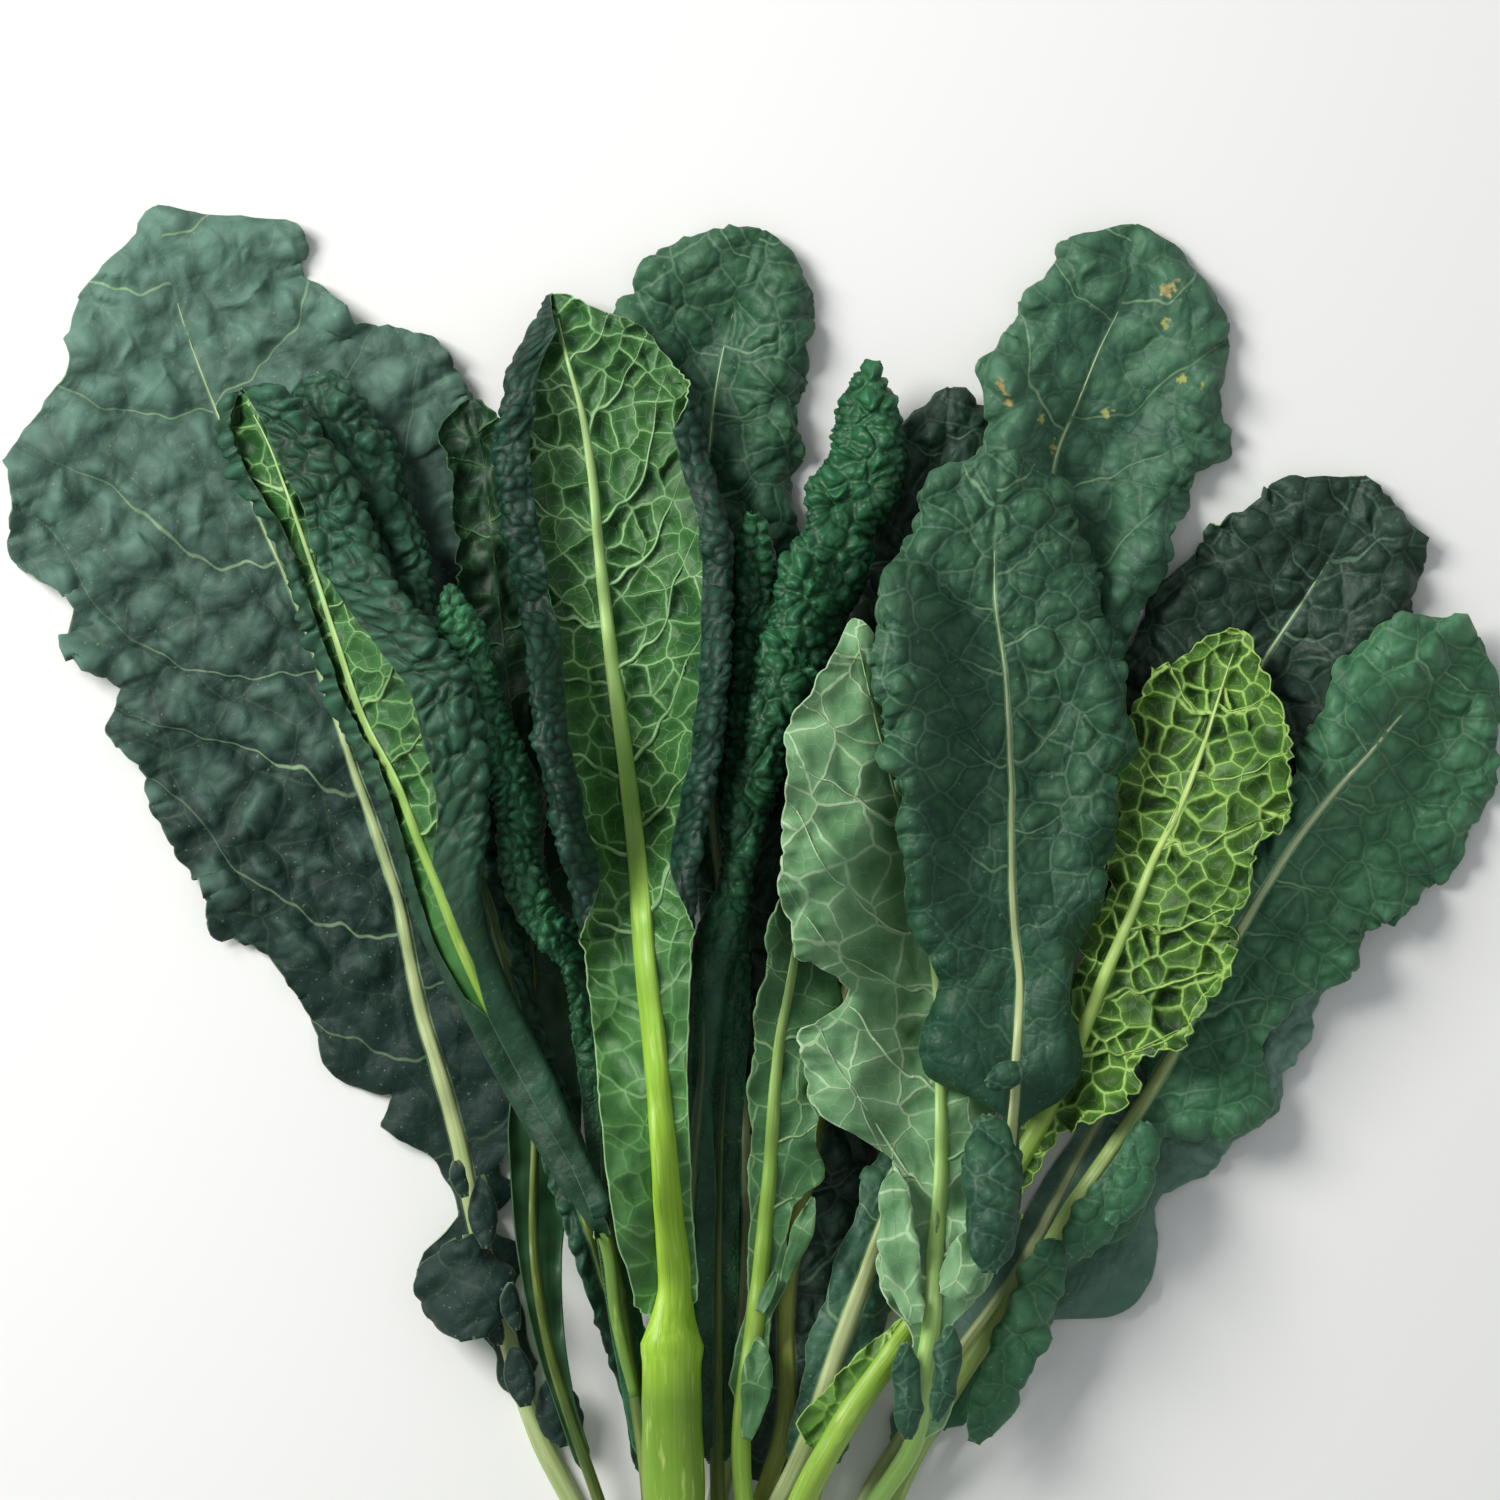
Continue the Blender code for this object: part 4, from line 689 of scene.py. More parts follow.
def make_upper_face(name, deep, light, vein, cell=11.0, small_cell=4.5, roughness=0.5, vein_width=0.45,
                    vein_reach=24.0, net_strength=0.3, base_shading=0.2, blemishes=()):
    """The upper face of a kale leaf: a waxy skin, bluish with bloom on the blisters and darkened in the
    creases as painted shade, with thin paler lateral veins. The wax makes its gloss broad and weak."""
    skin, tree, shader, grain, puff, distances = start_leaf_skin(name, cell, small_cell)
    lateral, net, fine, midrib, vigour = distances
    crease = add_node(tree, "ShaderNodeMath", {0: lateral, 1: net, 2: LINE_BLEND}, operation="SMOOTH_MIN")
    dome = add_node(tree, "ShaderNodeMapRange", {"Value": crease.outputs[0],
                                                 "From Max": 0.34 * cell * METRES},
                    interpolation_type="SMOOTHSTEP")
    small_dome = add_node(tree, "ShaderNodeMapRange", {"Value": fine, "From Max": 0.3 * small_cell * METRES},
                          interpolation_type="SMOOTHSTEP")
    patch = add_node(tree, "ShaderNodeTexNoise", {"Vector": grain, "Scale": PATCHES, "Detail": 4.0})
    raised = add_node(tree, "ShaderNodeMath", {0: dome.outputs[0], 1: puff}, operation="MULTIPLY",
                      use_clamp=True)
    # Painted shade: the ground colour is darker in the creases, large and small, and towards the blade's
    # base. It is lighter on the blisters, where the wax bloom lies, and varies at random from cell to cell
    # and patch to patch.
    share = add_node(tree, "ShaderNodeMath", {0: raised.outputs[0], 1: 0.4, 2: -0.38},
                     operation="MULTIPLY_ADD")
    blade_part = add_node(tree, "ShaderNodeAttribute", attribute_name="blade_part").outputs["Fac"]
    share = add_node(tree, "ShaderNodeMath", {0: share.outputs[0], 1: 0.65 * base_shading}, operation="SUBTRACT")
    bead = add_node(tree, "ShaderNodeAttribute", attribute_name="bead").outputs["Fac"]
    creased = add_node(tree, "ShaderNodeMath", {0: small_dome.outputs[0], 1: 0.6}, operation="SUBTRACT")
    creased = add_node(tree, "ShaderNodeMath", {0: creased.outputs[0], 1: bead}, operation="MULTIPLY")
    for value, weight in ((blade_part, base_shading), (creased.outputs[0], 0.14), (vigour, 0.14),
                          (patch.outputs["Fac"], 1.0)):
        share = add_node(tree, "ShaderNodeMath", {0: value, 1: weight, 2: share.outputs[0]},
                         operation="MULTIPLY_ADD", use_clamp=weight == 1.0)
    ground = add_node(tree, "ShaderNodeMix", {0: share.outputs[0], "A": linear(deep), "B": linear(light)},
                      data_type="RGBA")
    colour = ground.outputs["Result"]
    line = add_node(tree, "ShaderNodeMapRange", {"Value": lateral, "From Min": 0.5 * vein_width * METRES,
                                                 "From Max": 1.6 * vein_width * METRES, "To Min": 1.0,
                                                 "To Max": 0.0}, interpolation_type="SMOOTHSTEP")
    faded = add_node(tree, "ShaderNodeMapRange", {"Value": midrib, "From Min": 0.15 * vein_reach * METRES,
                                                  "From Max": vein_reach * METRES, "To Min": 0.8,
                                                  "To Max": 0.04}, interpolation_type="SMOOTHSTEP")
    broken = add_node(tree, "ShaderNodeMapRange", {"Value": patch.outputs["Fac"], "From Min": 0.35,
                                                   "From Max": 0.6, "To Min": 0.35, "To Max": 1.0})
    shown = add_node(tree, "ShaderNodeMath", {0: faded.outputs[0], 1: broken.outputs[0]},
                     operation="MULTIPLY")
    shown = add_node(tree, "ShaderNodeMath", {0: shown.outputs[0], 1: line.outputs[0]},
                     operation="MULTIPLY")
    thread = add_node(tree, "ShaderNodeMapRange", {"Value": net, "From Min": 0.15 * METRES,
                                                   "From Max": 0.65 * METRES, "To Min": net_strength,
                                                   "To Max": 0.0}, interpolation_type="SMOOTHSTEP")
    thread = add_node(tree, "ShaderNodeMath", {0: thread.outputs[0], 1: broken.outputs[0]},
                      operation="MULTIPLY")
    shown = add_node(tree, "ShaderNodeMath", {0: shown.outputs[0], 1: thread.outputs[0]},
                     operation="MAXIMUM")
    middle_line = add_node(tree, "ShaderNodeMapRange", {"Value": midrib, "From Min": 0.1 * METRES,
                                                        "From Max": 0.5 * METRES, "To Min": 0.9,
                                                        "To Max": 0.0})
    old_end = add_node(tree, "ShaderNodeMapRange", {"Value": blade_part, "From Min": 0.75, "From Max": 0.95,
                                                    "To Min": 1.0, "To Max": 0.0})
    middle_line = add_node(tree, "ShaderNodeMath", {0: middle_line.outputs[0], 1: old_end.outputs[0]},
                           operation="MULTIPLY")
    shown = add_node(tree, "ShaderNodeMath", {0: shown.outputs[0], 1: middle_line.outputs[0]},
                     operation="MAXIMUM")
    shown = add_node(tree, "ShaderNodeMath", {0: shown.outputs[0], 1: puff}, operation="MULTIPLY",
                     use_clamp=True)
    veined = add_node(tree, "ShaderNodeMix", {0: shown.outputs[0], "A": colour, "B": linear(vein)},
                      data_type="RGBA")
    colour = paint_edge(tree, veined.outputs["Result"], vein, 0.35)
    speck = add_node(tree, "ShaderNodeTexNoise", {"Vector": grain, "Scale": SPECKS, "Detail": 1.0})
    specks = add_node(tree, "ShaderNodeMapRange", {"Value": speck.outputs["Fac"], "From Min": 0.68,
                                                   "From Max": 0.76, "To Max": 0.3})
    speckled = add_node(tree, "ShaderNodeMix", {0: specks.outputs[0], "A": colour, "B": linear(vein)},
                        data_type="RGBA")
    colour = speckled.outputs["Result"]
    for middle, radius, stain in blemishes:
        colour = add_blemish(tree, colour, middle, radius, stain)
    tree.links.new(colour, shader.inputs["Base Color"])
    wax = add_node(tree, "ShaderNodeTexNoise", {"Vector": grain, "Scale": WAX_GRAIN, "Detail": 6.0,
                                                "Roughness": 0.62})
    dull = add_node(tree, "ShaderNodeMapRange", {"Value": wax.outputs["Fac"], "From Min": 0.3,
                                                 "From Max": 0.7, "To Min": roughness - 0.08,
                                                 "To Max": roughness + 0.1})
    tree.links.new(dull.outputs[0], shader.inputs["Roughness"])
    shader.inputs["Specular IOR Level"].default_value = 0.28
    height = add_node(tree, "ShaderNodeMath", {0: wax.outputs["Fac"], 1: WAX_HEIGHT}, operation="MULTIPLY")
    height = add_node(tree, "ShaderNodeMath", {0: small_dome.outputs[0], 1: BEAD_HEIGHT,
                                               2: height.outputs[0]}, operation="MULTIPLY_ADD")
    bump = add_node(tree, "ShaderNodeBump", {"Strength": 0.8, "Distance": 1.0, "Height": height.outputs[0]})
    tree.links.new(bump.outputs["Normal"], shader.inputs["Normal"])
    return skin


def add_blemish(tree, colour, middle, radius, stain):
    """A ragged dry spot at a place on the leaf, mixed over its colour."""
    place = add_node(tree, "ShaderNodeTexCoord").outputs["Object"]
    centre = np.array([*middle, 0.0]) * METRES + shift
    flat = add_node(tree, "ShaderNodeVectorMath", {0: place, 1: (1.0, 1.0, 0.0)}, operation="MULTIPLY")
    away = add_node(tree, "ShaderNodeVectorMath", {0: flat.outputs["Vector"], 1: tuple(centre)},
                    operation="DISTANCE")
    ragged = add_node(tree, "ShaderNodeTexNoise", {"Vector": place, "Scale": RAGS, "Detail": 4.0})
    edge = add_node(tree, "ShaderNodeMath", {0: ragged.outputs["Fac"], 1: 3.0 * radius * METRES,
                                             2: away.outputs["Value"]}, operation="MULTIPLY_ADD")
    spot = add_node(tree, "ShaderNodeMapRange", {"Value": edge.outputs[0], "From Min": 1.6 * radius * METRES,
                                                 "From Max": 2.1 * radius * METRES, "To Min": 0.9,
                                                 "To Max": 0.0}, interpolation_type="SMOOTHSTEP")
    mixed = add_node(tree, "ShaderNodeMix", {0: spot.outputs[0], "A": colour, "B": linear(stain)},
                     data_type="RGBA")
    return mixed.outputs["Result"]


def make_underside(name, pocket, light, vein, cell=9.0, small_cell=4.0, net_width=0.36, net_strength=0.6,
                   lateral_width=0.8, lateral_reach=30.0, roughness=0.52, edge_strength=0.7):
    """The underside of a kale leaf: brighter green pockets between raised pale veins, which fork into a
    net. Its skin is thinly waxed."""
    skin, tree, shader, grain, puff, distances = start_leaf_skin(name, cell, small_cell)
    lateral, net, fine, midrib, vigour = distances
    patch = add_node(tree, "ShaderNodeTexNoise", {"Vector": grain, "Scale": UNDERSIDE_PATCHES, "Detail": 4.0})
    # Painted shade: the ground is lighter beside the net of veins and darker in the middle of each pocket.
    edge = add_node(tree, "ShaderNodeMapRange", {"Value": net, "From Max": 0.35 * cell * METRES,
                                                 "To Min": 0.3, "To Max": -0.22})
    smooth = add_node(tree, "ShaderNodeMath", {0: 1.0, 1: puff}, operation="SUBTRACT", use_clamp=True)
    share = add_node(tree, "ShaderNodeMath", {0: patch.outputs["Fac"], 1: edge.outputs[0]},
                     operation="ADD")
    for value, weight in ((vigour, -0.2), (smooth.outputs[0], 0.5)):
        share = add_node(tree, "ShaderNodeMath", {0: value, 1: weight, 2: share.outputs[0]},
                         operation="MULTIPLY_ADD", use_clamp=weight > 0)
    ground = add_node(tree, "ShaderNodeMix", {0: share.outputs[0], "A": linear(pocket), "B": linear(light)},
                      data_type="RGBA")
    colour = ground.outputs["Result"]
    thin = add_node(tree, "ShaderNodeMapRange", {"Value": midrib, "From Max": lateral_reach * METRES,
                                                 "To Min": 1.0, "To Max": 0.4})
    lateral = add_node(tree, "ShaderNodeMath", {0: lateral, 1: thin.outputs[0]},
                       operation="DIVIDE").outputs[0]
    uneven = add_node(tree, "ShaderNodeMapRange", {"Value": patch.outputs["Fac"], "From Min": 0.35,
                                                   "From Max": 0.6, "To Min": 0.35, "To Max": 1.2})
    own_width = add_node(tree, "ShaderNodeMath", {0: vigour, 1: 0.6}, operation="ADD")
    net = add_node(tree, "ShaderNodeMath", {0: net, 1: own_width.outputs[0]}, operation="DIVIDE").outputs[0]
    ridge = None
    # Each kind of vein: its distance, width in millimetres, how strongly it shows, and height in metres
    threads = ((fine, 0.14, 0.2, 0.00006), (net, net_width, net_strength, 0.0003),
               (lateral, lateral_width, 0.9, 0.0006))
    for distance, width, strength, rise in threads:
        line = add_node(tree, "ShaderNodeMapRange", {"Value": distance, "From Min": 0.45 * width * METRES,
                                                     "From Max": 1.25 * width * METRES, "To Min": strength,
                                                     "To Max": 0.0}, interpolation_type="SMOOTHSTEP")
        shown = add_node(tree, "ShaderNodeMath", {0: uneven.outputs[0], 1: puff}, operation="MULTIPLY",
                         use_clamp=True)
        line = add_node(tree, "ShaderNodeMath", {0: line.outputs[0], 1: shown.outputs[0]},
                        operation="MULTIPLY")
        mixed = add_node(tree, "ShaderNodeMix", {0: line.outputs[0], "A": colour, "B": linear(vein)},
                         data_type="RGBA")
        colour = mixed.outputs["Result"]
        before = 0.0 if ridge is None else ridge
        ridge = add_node(tree, "ShaderNodeMath", {0: line.outputs[0], 1: rise, 2: before},
                         operation="MULTIPLY_ADD").outputs[0]
    tree.links.new(paint_edge(tree, colour, vein, edge_strength), shader.inputs["Base Color"])
    shader.inputs["Roughness"].default_value = roughness
    shader.inputs["Specular IOR Level"].default_value = 0.35
    bump = add_node(tree, "ShaderNodeBump", {"Strength": 0.9, "Distance": 1.0, "Height": ridge})
    tree.links.new(bump.outputs["Normal"], shader.inputs["Normal"])
    return skin


# A stalk's streaks, patches and flecks: how many to a metre across the stalk and lengthways
STREAKS = ((900.0, 25.0), (220.0, 18.0), (420.0, 60.0))
FIBRES = 1100.0


def make_stalk_skin(name, pale, green, fleck, tip, foot=None, foot_end=0.3, roughness=0.42):
    """The skin of a kale stalk: firm, smooth and juicy, streaked lengthways, and of another green where it
    runs on as the midrib."""
    skin = bpy.data.materials.new(name)
    skin.use_nodes = True
    tree = skin.node_tree
    shader = tree.nodes["Principled BSDF"]
    grain = add_node(tree, "ShaderNodeAttribute", attribute_name="grain").outputs["Vector"]
    along = add_node(tree, "ShaderNodeAttribute", attribute_name="along").outputs["Fac"]
    layers = []
    for across, lengthways in STREAKS:
        stretched = add_node(tree, "ShaderNodeMapping", {"Vector": grain,
                                                         "Scale": (across, lengthways, across)})
        layers.append(add_node(tree, "ShaderNodeTexNoise", {"Vector": stretched.outputs[0], "Scale": 1.0,
                                                            "Detail": 3.0}))
    streak, patch, spots = layers
    mixed = add_node(tree, "ShaderNodeMath", {0: streak.outputs["Fac"], 1: patch.outputs["Fac"]},
                     operation="ADD")
    share = add_node(tree, "ShaderNodeMapRange", {"Value": mixed.outputs[0], "From Min": 0.75,
                                                  "From Max": 1.25})
    base = add_node(tree, "ShaderNodeMix", {0: share.outputs[0], "A": linear(pale), "B": linear(green)},
                    data_type="RGBA")
    grown = add_node(tree, "ShaderNodeMapRange", {"Value": along, "From Min": 0.4, "From Max": 0.95,
                                                  "To Max": 0.9}, interpolation_type="SMOOTHSTEP")
    base = add_node(tree, "ShaderNodeMix", {0: grown.outputs[0], "A": base.outputs["Result"],
                                            "B": linear(tip)}, data_type="RGBA")
    if foot:
        cut = add_node(tree, "ShaderNodeMapRange", {"Value": along, "From Min": foot_end - 0.03,
                                                    "From Max": foot_end, "To Min": 0.75, "To Max": 0.0})
        base = add_node(tree, "ShaderNodeMix", {0: cut.outputs[0], "A": base.outputs["Result"],
                                                "B": linear(foot)}, data_type="RGBA")
    flecked = add_node(tree, "ShaderNodeMapRange", {"Value": spots.outputs["Fac"], "From Min": 0.58,
                                                    "From Max": 0.7, "To Max": 0.5})
    coloured = add_node(tree, "ShaderNodeMix", {0: flecked.outputs[0], "A": base.outputs["Result"],
                                                "B": linear(fleck)}, data_type="RGBA")
    tree.links.new(coloured.outputs["Result"], shader.inputs["Base Color"])
    shader.inputs["Roughness"].default_value = roughness
    shader.inputs["Specular IOR Level"].default_value = 0.4
    bump = add_node(tree, "ShaderNodeBump", {"Strength": 0.35, "Distance": 0.0006,
                                             "Height": streak.outputs["Fac"]})
    tree.links.new(bump.outputs["Normal"], shader.inputs["Normal"])
    return skin


def make_cut_flesh():
    """The cut end of a stalk: wet whitish green flesh, dotted with the ends of its fibres."""
    flesh = bpy.data.materials.new("cut kale stalk flesh")
    flesh.use_nodes = True
    tree = flesh.node_tree
    grain = add_node(tree, "ShaderNodeAttribute", attribute_name="grain").outputs["Vector"]
    fibres = add_node(tree, "ShaderNodeTexNoise", {"Vector": grain, "Scale": FIBRES, "Detail": 2.0})
    share = add_node(tree, "ShaderNodeMapRange", {"Value": fibres.outputs["Fac"], "From Min": 0.35,
                                                  "From Max": 0.65})
    colour = add_node(tree, "ShaderNodeMix", {0: share.outputs[0], "A": linear("#A9BE7E"),
                                              "B": linear("#D3DEB4")}, data_type="RGBA")
    shader = tree.nodes["Principled BSDF"]
    tree.links.new(colour.outputs["Result"], shader.inputs["Base Color"])
    shader.inputs["Roughness"].default_value = 0.35
    bump = add_node(tree, "ShaderNodeBump", {"Strength": 0.4, "Distance": 0.0005,
                                             "Height": fibres.outputs["Fac"]})
    tree.links.new(bump.outputs["Normal"], shader.inputs["Normal"])
    return flesh


def set_attribute(mesh, name, kind, values):
    attribute = mesh.attributes.new(name, kind, "POINT")
    key = "vector" if kind == "FLOAT_VECTOR" else "value"
    attribute.data.foreach_set(key, np.asarray(values, np.float32).ravel())


def make_mesh(name, points, faces):
    mesh = bpy.data.meshes.new(name)
    mesh.from_pydata((points * METRES + shift).tolist(), [], faces)
    mesh.shade_smooth()
    return mesh


def blade_faces(rows, columns):
    """Quads of a closed blade: its upper sheet, its lower sheet and the rim between them."""
    place = np.arange(rows * columns).reshape(rows, columns)
    a, b, c, d = place[:-1, :-1], place[:-1, 1:], place[1:, 1:], place[1:, :-1]
    top = np.stack([a, b, c, d], axis=-1).reshape(-1, 4)
    under = rows * columns
    edge = np.concatenate([place[0, :], place[1:, -1], place[-1, -2::-1], place[-2:0:-1, 0]])
    following = np.roll(edge, -1)
    rim = np.stack([following, edge, edge + under, following + under], axis=-1)
    return np.concatenate([top, top[:, ::-1] + under, rim])


def tube_faces(rings, sides):
    """Faces of a closed tube."""
    place = np.arange(rings * sides).reshape(rings, sides)
    around = np.roll(place, -1, axis=1)
    a, b, c, d = place[:-1], around[:-1], around[1:], place[1:]
    walls = np.stack([a, d, c, b], axis=-1).reshape(-1, 4).tolist()
    return walls + [place[0].tolist(), place[-1, ::-1].tolist()]


VEIN_SIDES = 6
VEIN_END = 0.22               # a lateral vein's radius where it ends
SHORTEST_VEIN = 12            # in points of the blade's grid
FLAT_SHARE = 0.6              # a blade blistered less than this has no raised laterals
VEIN_SHARE = 0.16             # of a lateral's radius in the midrib's width where it leaves it
VEIN_ROOT = 5                 # points over which it grows to that radius, inside the midrib
VEIN_TAPER = 0.8
VEIN_PROUD = 0.15             # of its radius, by which its middle stands out of the blade's surface
VEIN_REACH = 0.9              # of a half that a lateral crosses
ROLLED_REACH = 0.5            # and where the margin is rolled over


def trace_lateral(blade, sheet, columns, number):
    """The points of one lateral vein, from the rib outwards, and the blade's outward directions there."""
    rows = np.arange(len(blade.stations))
    points, directions = [], []
    for column in columns:
        orders = blade.order[:, column]
        if number < orders[0] or number > orders[-1]:
            break
        row = np.interp(number, orders, rows)
        low = min(int(row), len(rows) - 2)
        f = row - low
        points.append(sheet[low, column] * (1 - f) + sheet[low + 1, column] * f)
        directions.append(blade.outward[low, column] * (1 - f) + blade.outward[low + 1, column] * f)
    return np.array(points), np.array(directions)


def grow_laterals(leaf, rib, blade, sheet):
    """The raised lateral veins on a leaf's underside, as tubes that thin out towards the margins."""
    middle = int(np.argmin(np.abs(blade.across[len(blade.stations) // 2])))
    last = blade.across.shape[1] - 1
    tubes = []
    for hand, roll, edge in ((-1, leaf.roll_left, 0), (1, leaf.roll_right, last)):
        share = ROLLED_REACH if rolls_over(roll) else VEIN_REACH
        count = int(share * abs(edge - middle))
        columns = middle + hand * np.arange(count)
        orders = blade.order[:, middle + hand]
        for number in range(math.ceil(orders[0]), math.floor(orders[-1]) + 1):
            points, outward = trace_lateral(blade, sheet, columns, number)
            if len(points) < SHORTEST_VEIN:
                continue
            station = np.interp(number, orders, blade.stations)
            if np.interp(station, blade.stations, blade.swell[:, 0]) < FLAT_SHARE:
                continue
            thick = VEIN_SHARE * float(stalk_widths(leaf, rib, np.array([station]))[0])
            radius = VEIN_END + (thick - VEIN_END) * (1 - np.linspace(0.0, 1.0, len(points))) ** VEIN_TAPER
            rooted = np.minimum(1.0, np.arange(1, len(points) + 1) / VEIN_ROOT)[:, None]
            radius = radius * rooted[:, 0]
            centre = points - outward * (BLADE_THICKNESS / 2 * rooted + VEIN_PROUD * radius[:, None])
            along = np.gradient(points, axis=0)
            side = np.cross(along, outward)
            side /= np.linalg.norm(side, axis=1)[:, None]
            turn = 2 * math.pi * np.arange(VEIN_SIDES) / VEIN_SIDES
            ring = (side[:, None, :] * np.cos(turn)[None, :, None]
                    + outward[:, None, :] * np.sin(turn)[None, :, None])
            tubes.append(centre[:, None, :] + radius[:, None, None] * ring)
    return tubes


cut_flesh = make_cut_flesh()
pile = HeightField()
relief_tree = make_relief()
relief_inputs = {item.name: item.identifier for item in relief_tree.interface.items_tree
                 if item.in_out == "INPUT"}
laid = []


def draw_in(points):
    """Moves points towards the middle of the view as they rise, so that the camera sees each above the
    same spot of the surface as in the photograph."""
    nearer = (camera_height - points[..., 2]) / (camera_height - VIEW_PLANE)
    points[..., :2] = VIEW_MIDDLE + (points[..., :2] - VIEW_MIDDLE) * nearer[..., None]


LOBE_WIDTHS = (0.8, 0.6, 0.4)
LOBE_CURL = margin_curl(-60, 7.0)
LOBE_PUFF = Puff(0.5, 0.0, 1.0, 0.0)
LOBE_VEINS = Veins(400.0, (1.0, 1.0), 9.0, 0.8, 4.5, 0.15, 0.7, 1.0)
# A lobe's outline: a share of its length, and the share of its greatest width that it has there
LOBE_OUTLINE = ((0.0, 0.45), (0.25, 0.9), (0.5, 1.0), (0.75, 0.95), (1.0, 0.75))
LOBE_INSET = 0.01             # how far before the end of its line the last of these is read


def make_lobe(face, spine, half):
    """A rounded flap of blade down a leaf's stalk, from where it grows to its end, as a leaf of its own."""
    line = np.array(spine, float)
    length = curve_knots(line)[-1]
    parts, shares = np.array(LOBE_OUTLINE).T
    places = read_curve(line, np.minimum(length * parts, length - LOBE_INSET))
    step = np.gradient(places, axis=0)
    normals = np.stack([step[:, 1], -step[:, 0]], axis=1) / np.linalg.norm(step, axis=1)[:, None]
    reach = (half * shares)[:, None] * normals
    return Leaf("lobe", face, 0.0, LOBE_WIDTHS, LOBE_CURL, LOBE_CURL, spine, places - reach, places + reach)


LEAF_SHIFT = 1.9              # how far the waves shift from one leaf to the next
LOBE_SHIFT = 2.3              # and from one lobe to the next


def lay_leaf(leaf, veins, upper_finish, under_finish, stalk_finish,
             puff=EVEN, lobes=()):
    """Grows a leaf's blade and stalk, lays them on what is there already, and gives them their finish.
    The lobes are small blades of their own down its stalk, and are laid after it."""
    phase = LEAF_SHIFT * len(laid)
    rib = Rib(leaf)
    blade = grow_blade(leaf, rib, veins, puff, phase)
    rings, ring_stations = grow_stalk(leaf, rib, puff, phase, blade.stations[0])
    swell = (veins.dome + veins.small_dome) * blade.outward
    surfaces = np.concatenate([blade.sheet.reshape(-1, 3), (blade.sheet + swell).reshape(-1, 3)])
    lift = pile.lift(surfaces, rings.reshape(-1, 3))
    lowest_of_all = pile.read(pile.top, rings) == 0.0
    blade.sheet[..., 2] += pile.read(lift, blade.sheet)
    rings[..., 2] += pile.read(lift, rings)
    settled = np.maximum(rings[..., 2] - SETTLE, 0.0)
    rings[..., 2] = np.where(lowest_of_all & (rings[..., 2] < 2 * SETTLE), settled, rings[..., 2])
    pile.add(np.concatenate([blade.sheet.reshape(-1, 3), (blade.sheet + swell).reshape(-1, 3),
                             rings.reshape(-1, 3)]))
    sheets = [blade]
    for number, lobe in enumerate(lobes):
        part = grow_blade(lobe, Rib(lobe), LOBE_VEINS, LOBE_PUFF, phase + LOBE_SHIFT * number)
        points = part.sheet.reshape(-1, 3)
        part.sheet[..., 2] += pile.read(pile.lift(points, points), part.sheet)
        pile.add(part.sheet.reshape(-1, 3))
        sheets.append(part)
    for part in sheets:
        draw_in(part.sheet)
    draw_in(rings)
    laid.append(leaf.name)
    make_blade(leaf, sheets, veins, upper_finish, under_finish)
    laterals = grow_laterals(leaf, rib, blade, blade.sheet) if leaf.face == UNDERSIDE_UP else []
    make_stalk(leaf, rings, ring_stations, laterals, stalk_finish, under_finish)


GRAIN_SHIFT = 370.0           # from one leaf's grain to the next leaf's
LONG_BLADE = 150.0            # a shorter blade is all as dark as a long one's base
ROLLED_STEP = 4.0             # how much further apart the lateral veins seem on a rolled margin
ROLLED_BEADS = 2.2            # how much taller the small blisters are there
ROLLED_PUFF = 0.6             # how much lower the large ones are


def blade_attributes(blade, veins):
    """What the relief and the finishes read at each point of one sheet of a blade."""
    rows, columns = blade.across.shape
    stations = np.repeat(blade.stations[:, None], columns, axis=1)
    across = blade.across + GRAIN_SHIFT * len(laid)
    grain = np.dstack([across, stations, np.zeros_like(stations)]) * METRES
    step = veins.spacing * METRES * (1 + ROLLED_STEP * blade.rolled)
    length = stations[-1, 0] - stations[0, 0]
    # How far along the blade each point is: the upper faces are painted darker towards the base by it, as
    # painted shade
    blade_part = (stations - stations[0, 0]) / max(length, LONG_BLADE)
    return {"grain": grain, "veins": np.dstack([blade.order, step, blade.beside * METRES]),
            "outward": blade.outward, "rim": blade.rim, "blade_part": blade_part,
            "puff": blade.swell * (1 - ROLLED_PUFF * blade.rolled),
            "bead": blade.swell * (1 + ROLLED_BEADS * blade.rolled)}


